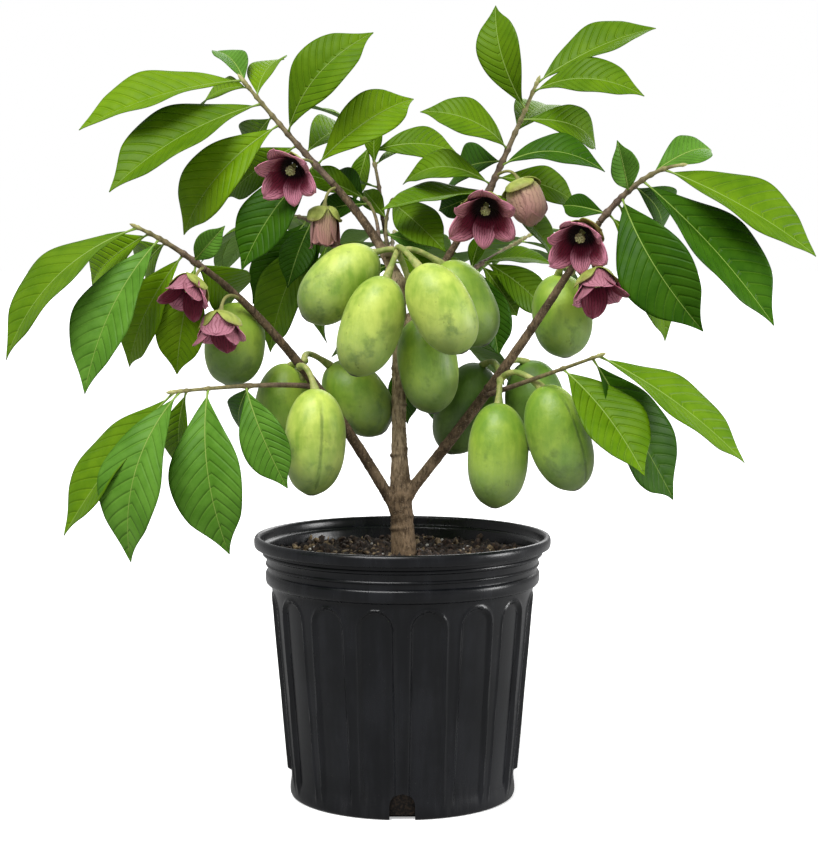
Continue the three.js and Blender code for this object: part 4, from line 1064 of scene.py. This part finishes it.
# Each flower has its bell's line. Its outer petals, inner petals and sepals are given by their half width,
# the part of the line that they cover, how far they stand off it and how blunt they are.
open_petals, young_petals, sepals = [], [], []
stamens = bmesh.new()
flower_stalks = []
for root, cup, ahead, spread, size in blossoms.values():
    length = BELL_LENGTH * size
    bend = cup - ahead * (0.6 * (root - cup).length)
    stalk = Limb(root, bend, cup + ahead * 0.002)
    flower_stalks.append([(stalk.at(share), 0.0015 + 0.0016 * smoothstep(0.7, 1, share) ** 2)
                          for share in np.linspace(0, 1, 22)])
    if spread > WIDE:
        line = bell_line(1.16 * length, (86, 18, 1.4 * spread - 22))
        outer, inner, cap = (0.0150, 1, 0, 0.6), (0.0125, 0.94, -0.0014, 0.62), (0.0135, 0.56, 0.0026, 0.34)
    elif spread > OPEN:
        line = bell_line(1.12 * length, (88, 10, 1.3 * spread - 14))
        outer, inner, cap = (0.0170, 0.8, 0.0008, 0.42), (0.0140, 1, -0.0016, 0.5), (0.0115, 0.54, 0.0026, 0.32)
    elif spread:
        line = bell_line(1.26 * length, (86, 8, -12), (0, 0.3, 1))
        outer, inner, cap = (0.0118, 1, 0, 0.42), (0.0110, 0.94, -0.0014, 0.42), (0.0100, 0.44, 0.0024, 0.3)
    else:
        line = bell_line(1.8 * length, (88, 10, -10, -88), (0, 0.33, 0.62, 1), 0.0022)
        outer, inner, cap = (0.0200, 1, 0, 0), None, (0.0150, 0.3, 0.0020, 0.36)
    petals = open_petals if spread > OPEN else young_petals
    # A petal's tone holds back its pale rim: partly the inner petals' own deeper maroon, partly painted shade
    # set by where each petal hangs in the bell.
    outer_tone, inner_tone = (0.8, 0.0) if spread > WIDE else (0.2, 2.2) if spread > OPEN else (0.0, 0.0)
    for third in range(3):
        turn = 2 * math.pi * third / 3 - math.pi / 2 + (
            lerp(-0.12, 0.12, next(petal_draw)) if spread > OPEN else 0.2
        )
        grade = size * (lerp(0.92, 1.08, next(petal_draw)) if spread > OPEN else 1)
        petals.append((petal(cup, ahead, turn, line, outer[0] * grade, *outer[1:]), outer_tone))
        if inner:
            petals.append(
                (petal(cup, ahead, turn + math.pi / 3, line, inner[0] * grade, *inner[1:]), inner_tone)
            )
        sepals.append((petal(cup, ahead, turn + math.pi / 3, line, cap[0] * size, *cap[1:]), 0.0))
    if spread > OPEN:
        heart = cup + ahead * STAMEN_REACH
        ball = bmesh.ops.create_icosphere(stamens, subdivisions=4, radius=STAMEN_RADIUS)["verts"]
        for vertex in ball:
            knob = noise.cell(vertex.co * 900)
            vertex.co = heart + vertex.co * (0.86 + 0.26 * knob)
stamen_skin = mottled("stamens", 0.7, 900, (0.26, 0.26, 0.07), (0.86, 0.86, 0.46), detail=2, span=(0.35, 0.65))
flower_stalk_skin = mottled("flower_stalk", 0.75, 200, (0.13, 0.12, 0.035), (0.33, 0.33, 0.10))
for piece in (
    petal_piece("petals", open_petals, PETAL_THICKNESS, petal_face, petal_back),
    petal_piece("young_petals", young_petals, PETAL_THICKNESS, young_face, young_back),
    petal_piece("sepals", sepals, SEPAL_THICKNESS, sepal_skin.material, sepal_skin.material),
    shown("stamens", meshed("stamens", stamens), stamen_skin),
    shown("flower_stalks", tubes("flower_stalks", flower_stalks, 10), flower_stalk_skin),
):
    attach(piece, "root")
    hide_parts(*blossoms)


# Studio. A plain white floor that runs past the view, a broad soft key light from the upper left, a fill
# light from the right and a large soft one behind. The camera stands 2.2 m off and looks down by five degrees.

floor_shape = bmesh.new()
bmesh.ops.create_circle(floor_shape, cap_ends=True, segments=96, radius=30)
paper = Finish("white_paper", 0.9, **{"Base Color": (0.93, 0.93, 0.93, 1), "Emission Color": (1, 1, 1, 1),
                                      "Emission Strength": 0.38})
floor = shown("floor", meshed("floor", floor_shape), paper.material)


def seen_apart(tree, lighting, look, end):
    """Let one shader give the light and another be what the camera sees. end is the tree's output node."""
    seen, choice = tree.nodes.new("ShaderNodeLightPath"), tree.nodes.new("ShaderNodeMixShader")
    tree.links.new(seen.outputs["Is Camera Ray"], choice.inputs["Fac"])
    tree.links.new(lighting.outputs[0], choice.inputs[1])
    tree.links.new(look.outputs[0], choice.inputs[2])
    tree.links.new(choice.outputs[0], tree.nodes[end].inputs["Surface"])


# The floor throws up less light than it shows, as if it were clear of the tree.
dim_paper = paper.tree.nodes.new("ShaderNodeBsdfDiffuse")
dim_paper.inputs["Color"].default_value = (0.34, 0.34, 0.34, 1)
seen_apart(paper.tree, dim_paper, paper.shader, "Material Output")

# The surround is white to look at and gives a dimmer light than it shows, so that the lamps model the forms.
world = bpy.data.worlds.new("studio")
world.use_nodes = True
sky = world.node_tree
surround, backdrop = sky.nodes["Background"], sky.nodes.new("ShaderNodeBackground")
surround.inputs["Color"].default_value = backdrop.inputs["Color"].default_value = (1, 1, 1, 1)
surround.inputs["Strength"].default_value, backdrop.inputs["Strength"].default_value = 0.44, 1.0
seen_apart(sky, surround, backdrop, "World Output")
bpy.context.scene.world = world
bpy.context.scene.view_settings.view_transform = "Standard"


def lamp(name, kind, place, aim, power, **settings):
    light = bpy.data.lights.new(name, kind)
    light.energy = power
    for setting, value in settings.items():
        setattr(light, setting, value)
    holder = bpy.data.objects.new(name, light)
    holder.location = place
    holder.rotation_euler = (Vector(aim) - Vector(place)).to_track_quat("-Z", "Y").to_euler()
    bpy.context.scene.collection.objects.link(holder)


lamp("key", "SUN", (-0.7, -1.4, 2.6), (0, 0, 0.4), 3.7, angle=math.radians(34))
lamp("fill", "AREA", (1.9, -0.35, 0.6), (0, 0, 0.3), 24, size=0.6)
lamp("back", "AREA", (0.5, 2.2, 1.7), (0, 0, 0.45), 24, size=1.6)

lens = bpy.data.cameras.new("camera")
lens.lens, lens.sensor_width = 90.07, 36
lens.clip_start, lens.clip_end = 0.05, 100
camera = bpy.data.objects.new("camera", lens)
camera.location = (0.00659, -2.1795, 0.5688)
camera.rotation_euler = (math.radians(84.71), 0, 0)
bpy.context.scene.collection.objects.link(camera)
bpy.context.scene.camera = camera
